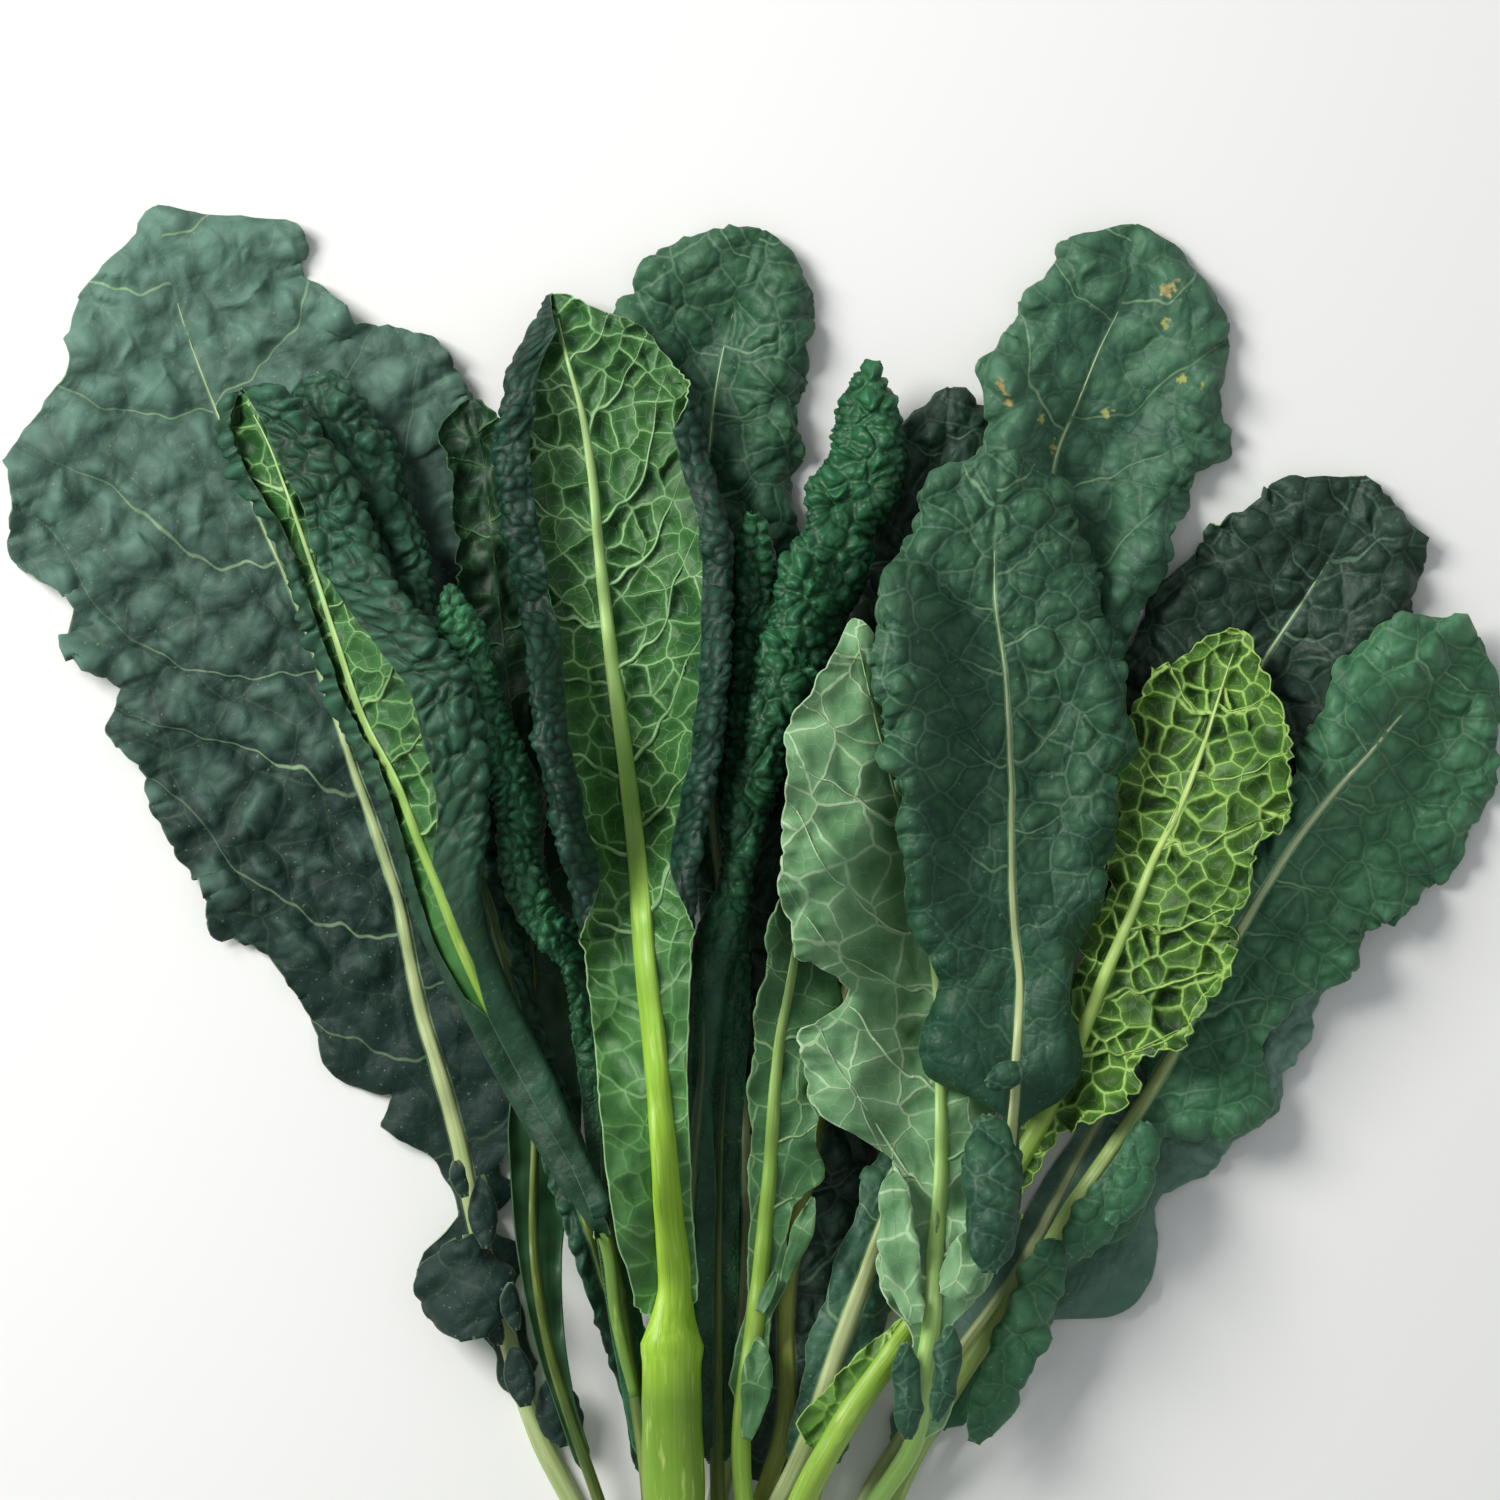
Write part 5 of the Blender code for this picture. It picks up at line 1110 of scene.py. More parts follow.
def make_blade(leaf, sheets, veins, upper_finish, under_finish):
    points, faces, values = [], [], {}
    for blade in sheets:
        rows, columns = blade.across.shape
        quads = blade_faces(rows, columns)
        quads = quads[:, ::-1] if blade.face == UNDERSIDE_UP else quads
        faces += (quads + sum(len(part) for part in points)).tolist()
        points += [blade.sheet.reshape(-1, 3)] * 2
        for name, value in blade_attributes(blade, veins).items():
            value = value.reshape(rows * columns, -1)
            values.setdefault(name, []).extend([value, value])
        side = np.ones((rows * columns, 1))
        values.setdefault("sheet", []).extend([side, -side])
    mesh = make_mesh(leaf.name + " blade", np.concatenate(points), faces)
    for name, parts in values.items():
        kind = "FLOAT_VECTOR" if parts[0].shape[1] == 3 else "FLOAT"
        set_attribute(mesh, name, kind, np.concatenate(parts))
    grown = bpy.data.objects.new(leaf.name + " grid", mesh)
    bpy.context.scene.collection.objects.link(grown)
    modifier = grown.modifiers.new("relief", "NODES")
    modifier.node_group = relief_tree
    for name, value in (("Cell", veins.cell * METRES), ("Dome", veins.dome * METRES),
                        ("Small Cell", veins.small_cell * METRES), ("Small Dome", veins.small_dome * METRES),
                        ("Softness", veins.soft), ("Thickness", BLADE_THICKNESS * METRES),
                        ("Upper Finish", upper_finish), ("Under Finish", under_finish)):
        modifier[relief_inputs[name]] = value
    depsgraph = bpy.context.evaluated_depsgraph_get()
    result = bpy.data.meshes.new_from_object(grown.evaluated_get(depsgraph), preserve_all_data_layers=True,
                                             depsgraph=depsgraph)
    bpy.data.objects.remove(grown)
    piece = bpy.data.objects.new(leaf.name + "_leaf_blade", result)
    bpy.context.scene.collection.objects.link(piece)
    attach(piece, "root")
    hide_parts(leaf.name + "_blade")


def make_stalk(leaf, rings, stations, laterals, finish, vein_finish):
    count, sides = rings.shape[:2]
    faces = tube_faces(count, sides)
    if leaf.face == UNDERSIDE_UP:
        faces = [face[::-1] for face in faces]
    points = [rings.reshape(-1, 3)]
    stalk_face_count = len(faces)
    for tube in laterals:
        before = sum(len(part) for part in points)
        faces += [[corner + before for corner in face] for face in tube_faces(len(tube), VEIN_SIDES)]
        points.append(tube.reshape(-1, 3))
    mesh = make_mesh(leaf.name + " stalk", np.concatenate(points), faces)
    radius = np.linalg.norm(rings - rings.mean(axis=1, keepdims=True), axis=2)
    turn = 2 * math.pi * np.arange(sides) / sides
    along = stations[:, None].repeat(sides, axis=1)
    grain = np.dstack([radius * np.cos(turn) + GRAIN_SHIFT * len(laid), along, radius * np.sin(turn)])
    grain = grain.reshape(-1, 3)
    grain = np.concatenate([grain] + points[1:]) * METRES
    set_attribute(mesh, "grain", "FLOAT_VECTOR", grain)
    share = np.ones(len(grain))
    share[:along.size] = along.ravel() / stations[-1]
    set_attribute(mesh, "along", "FLOAT", share)
    set_attribute(mesh, "puff", "FLOAT", np.ones(len(grain)))
    mesh.materials.append(finish)
    mesh.materials.append(vein_finish)
    mesh.materials.append(cut_flesh)
    finishes = (np.arange(len(faces)) >= stalk_face_count).astype(np.int32)
    finishes[stalk_face_count - 2] = 2          # the tube's first end, which is the cut
    mesh.polygons.foreach_set("material_index", finishes)
    piece = bpy.data.objects.new(leaf.name + "_leaf_stalk", mesh)
    bpy.context.scene.collection.objects.link(piece)
    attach(piece, "root")
    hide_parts(leaf.name + "_stalk")


# Waxed leaf skin, greyed by a thick bloom of wax: broad weak gloss, pale creases
grey_face = make_upper_face("bloomed kale leaf skin", "#4C7060", "#7CA08E", "#9CBC9E", net_strength=0.2)
# The thin skin under a leaf, which shows only at turned edges here
plain_underside = make_underside("kale leaf underside", "#3C6842", "#5F8C5E", "#9DBD8A")
# Pale stalk skin: firm, smooth and fibrous, with a soft gloss
pale_stalk_skin = make_stalk_skin("pale kale stalk skin", "#B9C48E", "#93A868", "#C2CC98", "#9FB68C")
grey_back = Leaf(
    "grey_back", UPPER_FACE_UP, 0.0, (7.5, 5.5, 1.4), FLAT, margin_curl(-35),
    rib=[(14, -254), (24, -206), (38, -173), (52, -150), (69, -125), (87, -100), (101, -74), (116, -46),
         (135, -18), (153, 12), (172, 42), (191, 76)],
    left=[(44, -150), (62, -118), (82, -92), (98, -66), (109, -50), (122, -15), (139, 15), (153, 42),
          (169, 65), (185, 80)],
    right=[(50, -168), (68, -143), (86, -118), (101, -112), (113, -113), (125, -110), (133, -100),
           (134, -90), (132, -75), (151, -65), (159, -56), (177, -40), (175, -33), (180, -27), (186, -11),
           (196, 5), (205, 32), (206, 55), (198, 76)])
lay_leaf(grey_back, WRINKLED, grey_face, plain_underside, pale_stalk_skin,
         puff=Puff(0.1, 0.3, 0.8))

# dark_back: an almost black-green quilted leaf, upper right
# A mature leaf whose blisters stand close together. It lies under the others, and its skin is painted the
# darkest, as painted shade.
# Dark waxed leaf skin: blackish green with a thin bluish bloom on the blisters, its own deep green darkened
# as painted shade
painted_shade_black_green_face = make_upper_face("dark kale leaf skin, darkened as painted shade", "#14281E", "#34503F", "#5B7E65")
QUILTED = Veins(28.0, (0.6, 0.6), 11.0, 2.4, 4.4, 0.45, 0.5, 1.2)
dark_back = Leaf(
    "dark_back", UPPER_FACE_UP, 0.5, (8.0, 5.5, 1.4), FLAT, margin_curl(-40),
    rib=[(4, -252), (9, -206), (19, -173), (33, -133), (51, -99), (76, -71), (99, -34), (119, 2),
         (137, 38), (153, 73), (169, 103), (184, 126), (194, 143), (202, 165)],
    left=[(108, 2), (119, 38), (122, 71), (121, 94), (127, 114), (135, 128), (159, 154), (176, 163),
          (190, 168), (200, 167)],
    right=[(128, -3), (153, 25), (173, 51), (193, 78), (210, 104), (218, 122), (223, 140), (218, 152),
           (212, 161), (205, 165)])
lay_leaf(dark_back, QUILTED, painted_shade_black_green_face, plain_underside, pale_stalk_skin)

# broad_left: the very broad blue-green leaf on the left
# The oldest leaf: wide, thin and nearly flat, with few long lateral veins and lobes down its stalk.
# Blue-green waxed leaf skin: a matt blue bloom that greys the highlights, and painted much darker towards the
# blade's base as painted shade
broad_face = make_upper_face("blue-green kale leaf skin", "#152D26", "#5A7C6C", "#88A87C", cell=20.0,
                             small_cell=7.0, roughness=0.6, vein_width=0.45, vein_reach=85.0,
                             net_strength=0.08, base_shading=1.6)
OPEN_NET = Veins(44.0, (0.35, 0.35), 20.0, 2.7, 7.0, 0.4, 0.85, 1.25)
broad_left = Leaf(
    "broad_left", UPPER_FACE_UP, 0.3, (8.0, 6.4, 1.4), FLAT, FLAT,
    rib=[(-43, -252), (-48, -206), (-56, -180), (-70, -151), (-82, -112), (-90, -83), (-98, -47),
         (-108, -13), (-117, 28), (-132, 72), (-150, 124), (-163, 154), (-175, 184), (-188, 219),
         (-196, 254)],
    left=[(-76, -140), (-84, -135), (-83, -122), (-90, -119), (-93, -110), (-102, -113), (-111, -102),
          (-106, -87), (-95, -83), (-98, -69), (-104, -64), (-102, -60), (-111, -57), (-111, -41),
          (-126, -47), (-137, -35), (-149, -4), (-163, 10), (-178, 14), (-182, 33), (-197, 50),
          (-198, 67), (-213, 79), (-207, 94), (-225, 105), (-224, 127), (-247, 138), (-242, 160),
          (-247, 170), (-232, 186), (-222, 203), (-227, 211), (-217, 230), (-203, 246)],
    right=[(-67, -132), (-73, -123), (-75, -107), (-80, -104), (-83, -89), (-88, -75), (-86, -67),
           (-82, -87), (-68, -87), (-66, -70), (-68, -41), (-73, -8), (-76, 25), (-82, 58), (-87, 91),
           (-91, 124), (-90, 157), (-93, 190), (-96, 203), (-106, 210), (-127, 217), (-148, 231),
           (-144, 239), (-154, 250), (-172, 249), (-180, 255), (-192, 257)])
broad_lobes = [make_lobe(UPPER_FACE_UP, spine, half) for spine, half in (
    ([(-60, -155), (-63, -144), (-65, -132)], 8.0), ([(-74, -142), (-76, -132), (-78, -122)], 5.0),
    ([(-83, -122), (-85, -115), (-87, -108)], 4.0), ([(-91, -120), (-94, -104), (-96, -87)], 14.5),
    ([(-77, -117), (-79, -109), (-79, -101)], 3.2), ([(-87, -90), (-88, -78), (-89, -66)], 4.2),
    ([(-94, -73), (-96, -67), (-97, -61)], 3.0))]
lay_leaf(broad_left, OPEN_NET, broad_face, plain_underside, pale_stalk_skin,
         puff=Puff(0.05, 0.12, 0.5), lobes=broad_lobes)

# back_centre: the blue-green leaf behind the middle
# A full-grown leaf with a narrow puckered blade and a bluish bloom.
# Waxed leaf skin: deep green with a bluish bloom
waxy_face = make_upper_face("waxed kale leaf skin", "#1B4230", "#446F4F", "#7FA47C")
back_centre = Leaf(
    "back_centre", UPPER_FACE_UP, 0.8, (8.0, 6.0, 1.4), margin_curl(-45), margin_curl(-50),
    rib=[(-20, -254), (-17, -206), (-7, -153), (-1, -107), (0, -67), (-4, -21), (-9, 25), (-14, 71),
         (-16, 111), (-16, 144), (-14, 169), (-11, 195), (-8, 210), (-2, 230), (4, 246)],
    left=[(-18, -160), (-12, -107), (-12, -67), (-15, -21), (-16, 25), (-28, 58), (-36, 84), (-45, 111),
          (-50, 144), (-52, 174), (-50, 200), (-44, 222), (-36, 228), (-39, 233), (-20, 242), (-18, 249),
          (-2, 250)],
    right=[(4, -160), (9, -107), (10, -67), (4, -21), (-2, 25), (2, 58), (7, 91), (12, 117), (14, 142),
           (14, 164), (16, 188), (17, 200), (21, 211), (18, 229), (21, 236), (18, 243), (8, 246)])
lay_leaf(back_centre, WRINKLED, waxy_face, plain_underside, pale_stalk_skin)

# dark_middle: the dark puckered leaf behind the right of the middle
# It shows only as a shaded strip between the leaves over it, its margins curled down.
# Olive stalk skin: smooth and dull, going deep green towards its tip. Its dull olive and dark tip are painted
# shade, for the stalks that lie in the shade of the other leaves.
painted_shade_olive_stalk_skin = make_stalk_skin("olive kale stalk skin in painted shade", "#6F8038", "#3E5628", "#8E9A3B", "#2C4A30")
dark_middle = Leaf(
    "dark_middle", UPPER_FACE_UP, 0.5, (8.0, 6.0, 1.5), margin_curl(-70), margin_curl(-70),
    rib=[(-7, -254), (-5, -206), (4, -173), (11, -151), (12, -107), (18, -71), (28, -24), (38, 25),
         (48, 75), (56, 117), (62, 157), (66, 194)],
    left=[(-3, -165), (2, -107), (4, -71), (1, -24), (-3, 15), (0, 48), (14, 84), (29, 121), (40, 150),
          (47, 177), (59, 192)],
    right=[(21, -165), (34, -107), (41, -71), (44, -24), (48, 15), (54, 42), (68, 75), (78, 114),
           (83, 157), (82, 184), (75, 192)])
# Yellowed stalk skin: duller than its neighbours' and deep green towards its tip, as painted shade
painted_shade_yellow_stalk_skin = make_stalk_skin("yellowed kale stalk skin in painted shade", "#98A446", "#76853A", "#A8B05C", "#2C4A30")
# Its blackish skin is painted shade over the strip that shows between the leaves over it.
lay_leaf(dark_middle, QUILTED, painted_shade_black_green_face, plain_underside, painted_shade_yellow_stalk_skin)

# tall_right: the tall leaf on the right
# A full-grown leaf with a few dry yellow and tan spots, where its skin was grazed.
# Waxed leaf skin with dry spots
# Where each dry spot is, its radius and its colour
DRY_SPOTS = (
    ((139.0, 228.0), 4.5, "#B7A768"), ((83.0, 196.0), 3.6, "#A8935E"), ((85.0, 190.0), 3.0, "#B59C63"),
    ((97.0, 184.0), 3.2, "#A6A852"), ((101.0, 175.0), 3.4, "#B0A556"), ((143.0, 198.0), 3.4, "#A3A654"),
    ((150.0, 195.0), 3.0, "#9DA252"), ((119.0, 187.0), 2.6, "#B5B96E"), ((122.0, 122.0), 2.6, "#C3CE88"),
    ((138.0, 216.0), 2.8, "#9FA257"))
spotted_face = make_upper_face("grazed kale leaf skin", "#264C39", "#507C5E", "#86A87C", cell=13.0,
                               small_cell=5.0, vein_reach=50.0, net_strength=0.15, blemishes=DRY_SPOTS)
SOFT = Veins(34.0, (0.6, 0.6), 13.0, 1.7, 5.0, 0.3, 0.85, 1.2)
tall_right = Leaf(
    "tall_right", UPPER_FACE_UP, 1.0, (8.5, 6.0, 1.5), margin_curl(-40), margin_curl(-50),
    rib=[(-12, -254), (-9, -206), (6, -180), (20, -151), (28, -127), (39, -97), (54, -57), (68, -15),
         (78, 25), (85, 65), (92, 104), (96, 137), (102, 174), (109, 191), (116, 208), (123, 223),
         (127, 248)],
    left=[(10, -160), (20, -120), (32, -85), (46, -50), (59, -8), (58, 25), (61, 58), (64, 91), (68, 124),
          (71, 150), (78, 174), (79, 190), (76, 201), (82, 206), (88, 219), (94, 228), (100, 236),
          (108, 246), (121, 250)],
    right=[(28, -165), (40, -127), (52, -97), (64, -57), (78, -8), (89, 15), (102, 45), (114, 78),
           (122, 108), (132, 125), (139, 142), (147, 164), (159, 174), (155, 191), (153, 200), (158, 218),
           (155, 228), (147, 233), (141, 245), (133, 250)])
lay_leaf(tall_right, SOFT, spotted_face, plain_underside, pale_stalk_skin)

# shaded_left: the dark leaf between the broad one and the middle
# It lies underside up in the shade of its neighbours, its margins curled up.
# Shaded leaf skin: plain deep green, hardly any bloom, darkened as painted shade
shaded_face = make_upper_face("shaded kale leaf skin", "#10281D", "#2A4C38", "#56785C")
# Shaded leaf underside: plain dark green, darkened as painted shade, with hardly any net to see
shaded_underside = make_underside("shaded kale leaf underside", "#132E1C", "#244A2B", "#4E7A4C",
                                  net_strength=0.3, edge_strength=0.15)
shaded_left = Leaf(
    "shaded_left", UNDERSIDE_UP, 0.4, (5.5, 3.6, 1.2), margin_curl(60), margin_curl(60),
    rib=[(-31, -254), (-39, -206), (-50, -173), (-59, -147), (-67, -120), (-71, -95), (-71, -51),
         (-71, -8), (-73, 32), (-77, 71), (-81, 108), (-85, 144), (-88, 170), (-92, 190)],
    left=[(-56, -165), (-63, -145), (-71, -120), (-76, -95), (-80, -51), (-76, -8), (-81, 25), (-86, 58),
          (-92, 91), (-95, 121), (-96, 147), (-99, 167), (-101, 183)],
    right=[(-52, -160), (-58, -140), (-62, -110), (-62, -88), (-56, -51), (-55, -8), (-57, 25), (-58, 58),
           (-60, 91), (-63, 124), (-69, 154), (-78, 174), (-84, 186)])
lay_leaf(shaded_left, WRINKLED, shaded_face, shaded_underside, painted_shade_olive_stalk_skin,
         puff=Puff(0.0, 0.4, 0.7))

# far_right: the rightmost leaf
# A quilted leaf with a wing and lobes down its stalk.
far_right = Leaf(
    "far_right", UPPER_FACE_UP, 1.0, (8.0, 4.4, 1.8), margin_curl(-40), margin_curl(-35),
    rib=[(33, -252), (38, -206), (47, -173), (58, -151), (82, -114), (94, -97), (105, -78), (122, -53),
         (138, -28), (150, -5), (164, 19), (181, 46), (194, 62), (205, 74), (214, 85), (224, 95),
         (240, 112)],
    left=[(125, -28), (139, -8), (153, 15), (163, 37), (173, 53), (183, 74), (188, 89), (194, 100),
          (207, 116), (226, 121)],
    right=[(67, -152), (78, -140), (89, -122), (101, -108), (104, -91), (111, -90), (124, -87),
           (133, -71), (133, -55), (139, -50), (151, -54), (164, -53), (173, -41), (170, -31), (168, -21),
           (179, -9), (189, -5), (199, 2), (204, 16), (219, 23), (232, 37), (238, 48), (245, 65),
           (247, 78), (247, 104), (244, 114)])
# Fresh green waxed leaf skin, with less bloom than its neighbours'
fresh_face = make_upper_face("fresh kale leaf skin", "#2A5A3C", "#568A64", "#8AB084")
# Fresh stalk skin: yellow-green and smooth
fresh_stalk_skin = make_stalk_skin("fresh kale stalk skin", "#A8BE72", "#8AA650", "#C0D096", "#C4D4A8")
far_lobes = [make_lobe(UPPER_FACE_UP, spine, half) for spine, half in (
    ([(74, -154), (80, -140), (93, -110), (101, -87)], 7.5), ([(106, -93), (113, -80), (119, -67)], 6.5),
    ([(119, -82), (127, -66), (130, -48)], 5.5))]
lay_leaf(far_right, QUILTED, fresh_face, plain_underside, fresh_stalk_skin,
         puff=Puff(0.05, 0.2, 0.55), lobes=far_lobes)

# small_curl: the small tight curl beside the middle leaf
# A young leaf still rolled up along its rib, so its upper face is outside and finely blistered.
# Young leaf skin: saturated green, little wax yet
bright_face = make_upper_face("young kale leaf skin", "#0E301C", "#327048", "#4E8A54", cell=6.8,
                              small_cell=3.2, roughness=0.42)
tiny_face = make_upper_face("youngest kale leaf skin", "#143C22", "#42865A", "#62A06C", cell=4.4,
                            small_cell=2.4, roughness=0.42, net_strength=0.1)
# Young leaf underside, which shows only at the edge of a roll
young_underside = make_underside("young kale leaf underside", "#14361F", "#245030", "#4A7E4E")
TIGHT = Veins(400.0, (0.5, 0.5), 6.8, 2.9, 3.2, 0.45, 0.15, 0.8)
TINY = Veins(400.0, (0.5, 0.5), 4.4, 2.2, 2.4, 0.2, 0.1, 0.7)
small_curl = Leaf(
    "small_curl", UPPER_FACE_UP, 0.4, (6.5, 4.5, 1.2), Roll(-150, 3.2, 0.0, 0.48, 0.65),
    Roll(-150, 3.2, 0.0, 0.48, 0.65),
    rib=[(-9, -250), (-10, -206), (-11, -156), (-11, -107), (-10, -57), (-7, -15), (-5, 25), (-2, 65),
         (1, 98), (2, 124), (1, 152)],
    left=[(-17, -160), (-17, -107), (-16, -57), (-13, -10), (-9, 32), (-7, 65), (-5, 98), (-5, 124),
          (-4, 146)],
    right=[(-5, -160), (-4, -107), (-3, -57), (0, -10), (-1, 32), (3, 65), (7, 98), (9, 124), (6, 146)])
lay_leaf(small_curl, TINY, tiny_face, young_underside, painted_shade_olive_stalk_skin,
         puff=Puff(0.0, 0.4, 0.65, 0.6))

# rear_curl: the blistered curl behind the front left leaf
# A half-grown leaf with both margins curled down under it.
CURLED = Veins(400.0, (0.5, 0.5), 8.0, 3.0, 4.2, 0.5, 0.3, 1.0)
# Curled leaf skin: even green, finely creased
roll_face = make_upper_face("curled kale leaf skin", "#14351F", "#386850", "#5A8262", cell=8.0,
                            small_cell=4.2, net_strength=0.1)
rear_curl = Leaf(
    "rear_curl", UPPER_FACE_UP, 0.7, (7.0, 5.5, 1.4), Roll(-110, 7.0, 0.0, 0.38, 0.5),
    Roll(-125, 7.0, 0.0, 0.38, 0.5),
    rib=[(-36, -250), (-33, -206), (-33, -173), (-36, -140), (-45, -107), (-58, -67), (-73, -28),
         (-83, 12), (-95, 51), (-107, 88), (-118, 124), (-128, 154), (-136, 177), (-143, 198)],
    left=[(-38, -165), (-42, -140), (-51, -112), (-58, -92), (-67, -64), (-78, -28), (-81, -1), (-92, 28),
          (-107, 61), (-120, 98), (-134, 131), (-143, 157), (-149, 177), (-151, 192)],
    right=[(-28, -165), (-30, -140), (-38, -107), (-50, -67), (-65, -28), (-73, -1), (-79, 28), (-86, 61),
           (-96, 91), (-103, 115), (-110, 148), (-116, 160), (-118, 175), (-132, 193)])
lay_leaf(rear_curl, CURLED, roll_face, plain_underside, painted_shade_olive_stalk_skin)

# puckered_roll: the tightly rolled bright leaf right of the middle
# A young leaf, rolled up along its rib and blistered all round.
puckered_roll = Leaf(
    "puckered_roll", UPPER_FACE_UP, 0.6, (7.0, 5.0, 1.2), Roll(-160, 5.0, 0.0, 0.25, 0.42),
    Roll(-160, 5.0, 0.0, 0.25, 0.42),
    rib=[(-20, -252), (-20, -206), (-20, -156), (-21, -107), (-19, -60), (-16, -31), (-15, -10),
         (-11, 13), (-5, 34), (-1, 56), (6, 81), (11, 98), (17, 117), (24, 134), (30, 147), (35, 161),
         (38, 177), (40, 201)],
    left=[(-27, -160), (-28, -107), (-26, -70), (-22, -41), (-20, -10), (-18, 13), (-7, 34), (-8, 56),
          (0, 78), (0, 94), (9, 117), (11, 134), (20, 147), (20, 161), (29, 173), (30, 188), (36, 198)],
    right=[(-12, -160), (-12, -107), (-11, -70), (-13, -41), (-8, -10), (-4, 13), (0, 34), (6, 56),
           (11, 81), (24, 92), (27, 110), (37, 128), (39, 147), (48, 161), (50, 171), (48, 185),
           (43, 197)])
lay_leaf(puckered_roll, TIGHT, bright_face, young_underside, painted_shade_olive_stalk_skin,
         puff=Puff(0.0, 0.42, 0.6, 0.55))

# narrow_curl: the narrow curl left of the middle
# A young leaf like the last one, smaller and more finely blistered.
narrow_curl = Leaf(
    "narrow_curl", UPPER_FACE_UP, 0.3, (6.5, 4.5, 1.2), Roll(-150, 3.4, 0.0, 0.42, 0.6),
    Roll(-150, 3.4, 0.0, 0.42, 0.6),
    rib=[(-29, -250), (-31, -206), (-34, -166), (-41, -117), (-48, -67), (-51, -28), (-57, 5), (-69, 20),
         (-75, 38), (-76, 58), (-82, 75), (-89, 91), (-94, 108), (-99, 129)],
    left=[(-38, -160), (-46, -117), (-53, -67), (-58, -20), (-63, 5), (-74, 17), (-81, 32), (-82, 48),
          (-87, 68), (-94, 88), (-100, 108), (-103, 124)],
    right=[(-28, -160), (-35, -117), (-42, -67), (-48, -20), (-54, 15), (-65, 23), (-69, 42), (-68, 58),
           (-75, 73), (-82, 91), (-86, 108), (-94, 124)])
lay_leaf(narrow_curl, TINY, tiny_face, young_underside, painted_shade_olive_stalk_skin,
         puff=Puff(0.0, 0.35, 0.55, 0.55))

# left_of_pale: the leaf with a long stalk behind the pale one
# Only its stalk and the edges of its blade show.
# Lime stalk skin: juicy, smooth and translucent green, streaked yellow
lime_stalk_skin = make_stalk_skin("lime kale stalk skin", "#94B84A", "#729C2E", "#B4CC70", "#A9C98A")
# Dim leaf underside: a plain dull green in the shade of the pale leaf
dim_underside = make_underside("dim kale leaf underside", "#2E5C34", "#4C7A4A", "#86A874", cell=14.0)
SMOOTH = Veins(30.0, (0.7, 0.7), 14.0, 1.4, 5.0, 0.2, 0.8, 1.2)
left_of_pale = Leaf(
    "left_of_pale", UNDERSIDE_UP, 0.4, (7.0, 6.2, 3.0), FLAT, FLAT,
    rib=[(2, -250), (1, -206), (-3, -151), (2, -111), (6, -70), (10, -20), (15, 8), (17, 32), (21, 58),
         (26, 84), (30, 106)],
    left=[(-8, -140), (-4, -120), (-1, -110), (0, -67), (0, -34), (3, -8), (6, 15), (12, 32), (14, 58),
          (21, 84), (26, 100)],
    right=[(5, -140), (6, -120), (7, -110), (13, -105), (11, -90), (16, -71), (24, -71), (22, -54),
           (28, -28), (31, -1), (30, 25), (31, 58), (35, 84), (33, 100)])
small_lobes = [make_lobe(UNDERSIDE_UP, spine, half) for spine, half in (
    ([(-1, -153), (2, -136), (3, -119)], 5.0), ([(3, -111), (6, -104), (9, -98)], 3.5),
    ([(11, -101), (16, -88), (21, -73)], 3.5))]
lay_leaf(left_of_pale, SMOOTH, waxy_face, dim_underside, lime_stalk_skin,
         lobes=small_lobes)

# front_left_roll: the leaf in front on the left
# It lies underside up. Its margins are rolled over on to it, so the dark upper face shows beside the net.
# Leaf underside beside the rolls: pockets darkened as painted shade, under a strong net
rolled_underside = make_underside("rolled kale leaf underside", "#1F4A22", "#41763A", "#94BA78", cell=9.5,
                                  small_cell=4.2)
# Lumpy leaf skin: the upper face that shows on the rolls, hardly waxed
lumpy_face = make_upper_face("lumpy kale leaf skin", "#14351F", "#386850", "#5A8262", cell=9.5,
                             small_cell=6.5, net_strength=0.05)
LUMPY = Veins(26.0, (0.5, 0.5), 9.5, 2.8, 6.5, 0.8, 0.3, 1.0)
front_left_roll = Leaf(
    "front_left_roll", UNDERSIDE_UP, 0.7, (3.5, 5.2, 3.2), Roll(175, 1.6, 0.8, -0.06, 0.02, 0.3),
    Roll(185, 4.6, 12.0, -0.06, 0.02, 0.33),
    rib=[(-38, -139), (-44, -114), (-47, -90), (-55, -67), (-68, -44), (-82, -18), (-95, 9), (-103, 29),
         (-110, 46), (-117, 64), (-127, 83), (-137, 112), (-145, 137), (-153, 160), (-161, 180),
         (-168, 192)],
    left=[(-50, -87), (-63, -69), (-78, -43), (-95, -11), (-107, 10), (-112, 25), (-121, 58), (-131, 78),
          (-140, 99), (-149, 126), (-158, 150), (-170, 167), (-177, 183)],
    right=[(-44, -79), (-53, -61), (-65, -33), (-79, -5), (-88, 18), (-90, 35), (-87, 54), (-87, 67),
           (-95, 100), (-101, 107), (-113, 121), (-124, 140), (-133, 165), (-150, 187)])
# Stalk skin in two greens, darker and older towards its foot
arched_stalk_skin = make_stalk_skin("two-toned kale stalk skin", "#94B84A", "#729C2E", "#B4CC70", "#A9C98A",
                                    foot="#5A7A38", foot_end=0.25)
lay_leaf(front_left_roll, LUMPY, lumpy_face, rolled_underside, arched_stalk_skin,
         puff=Puff(0.02, 0.36, 0.55))

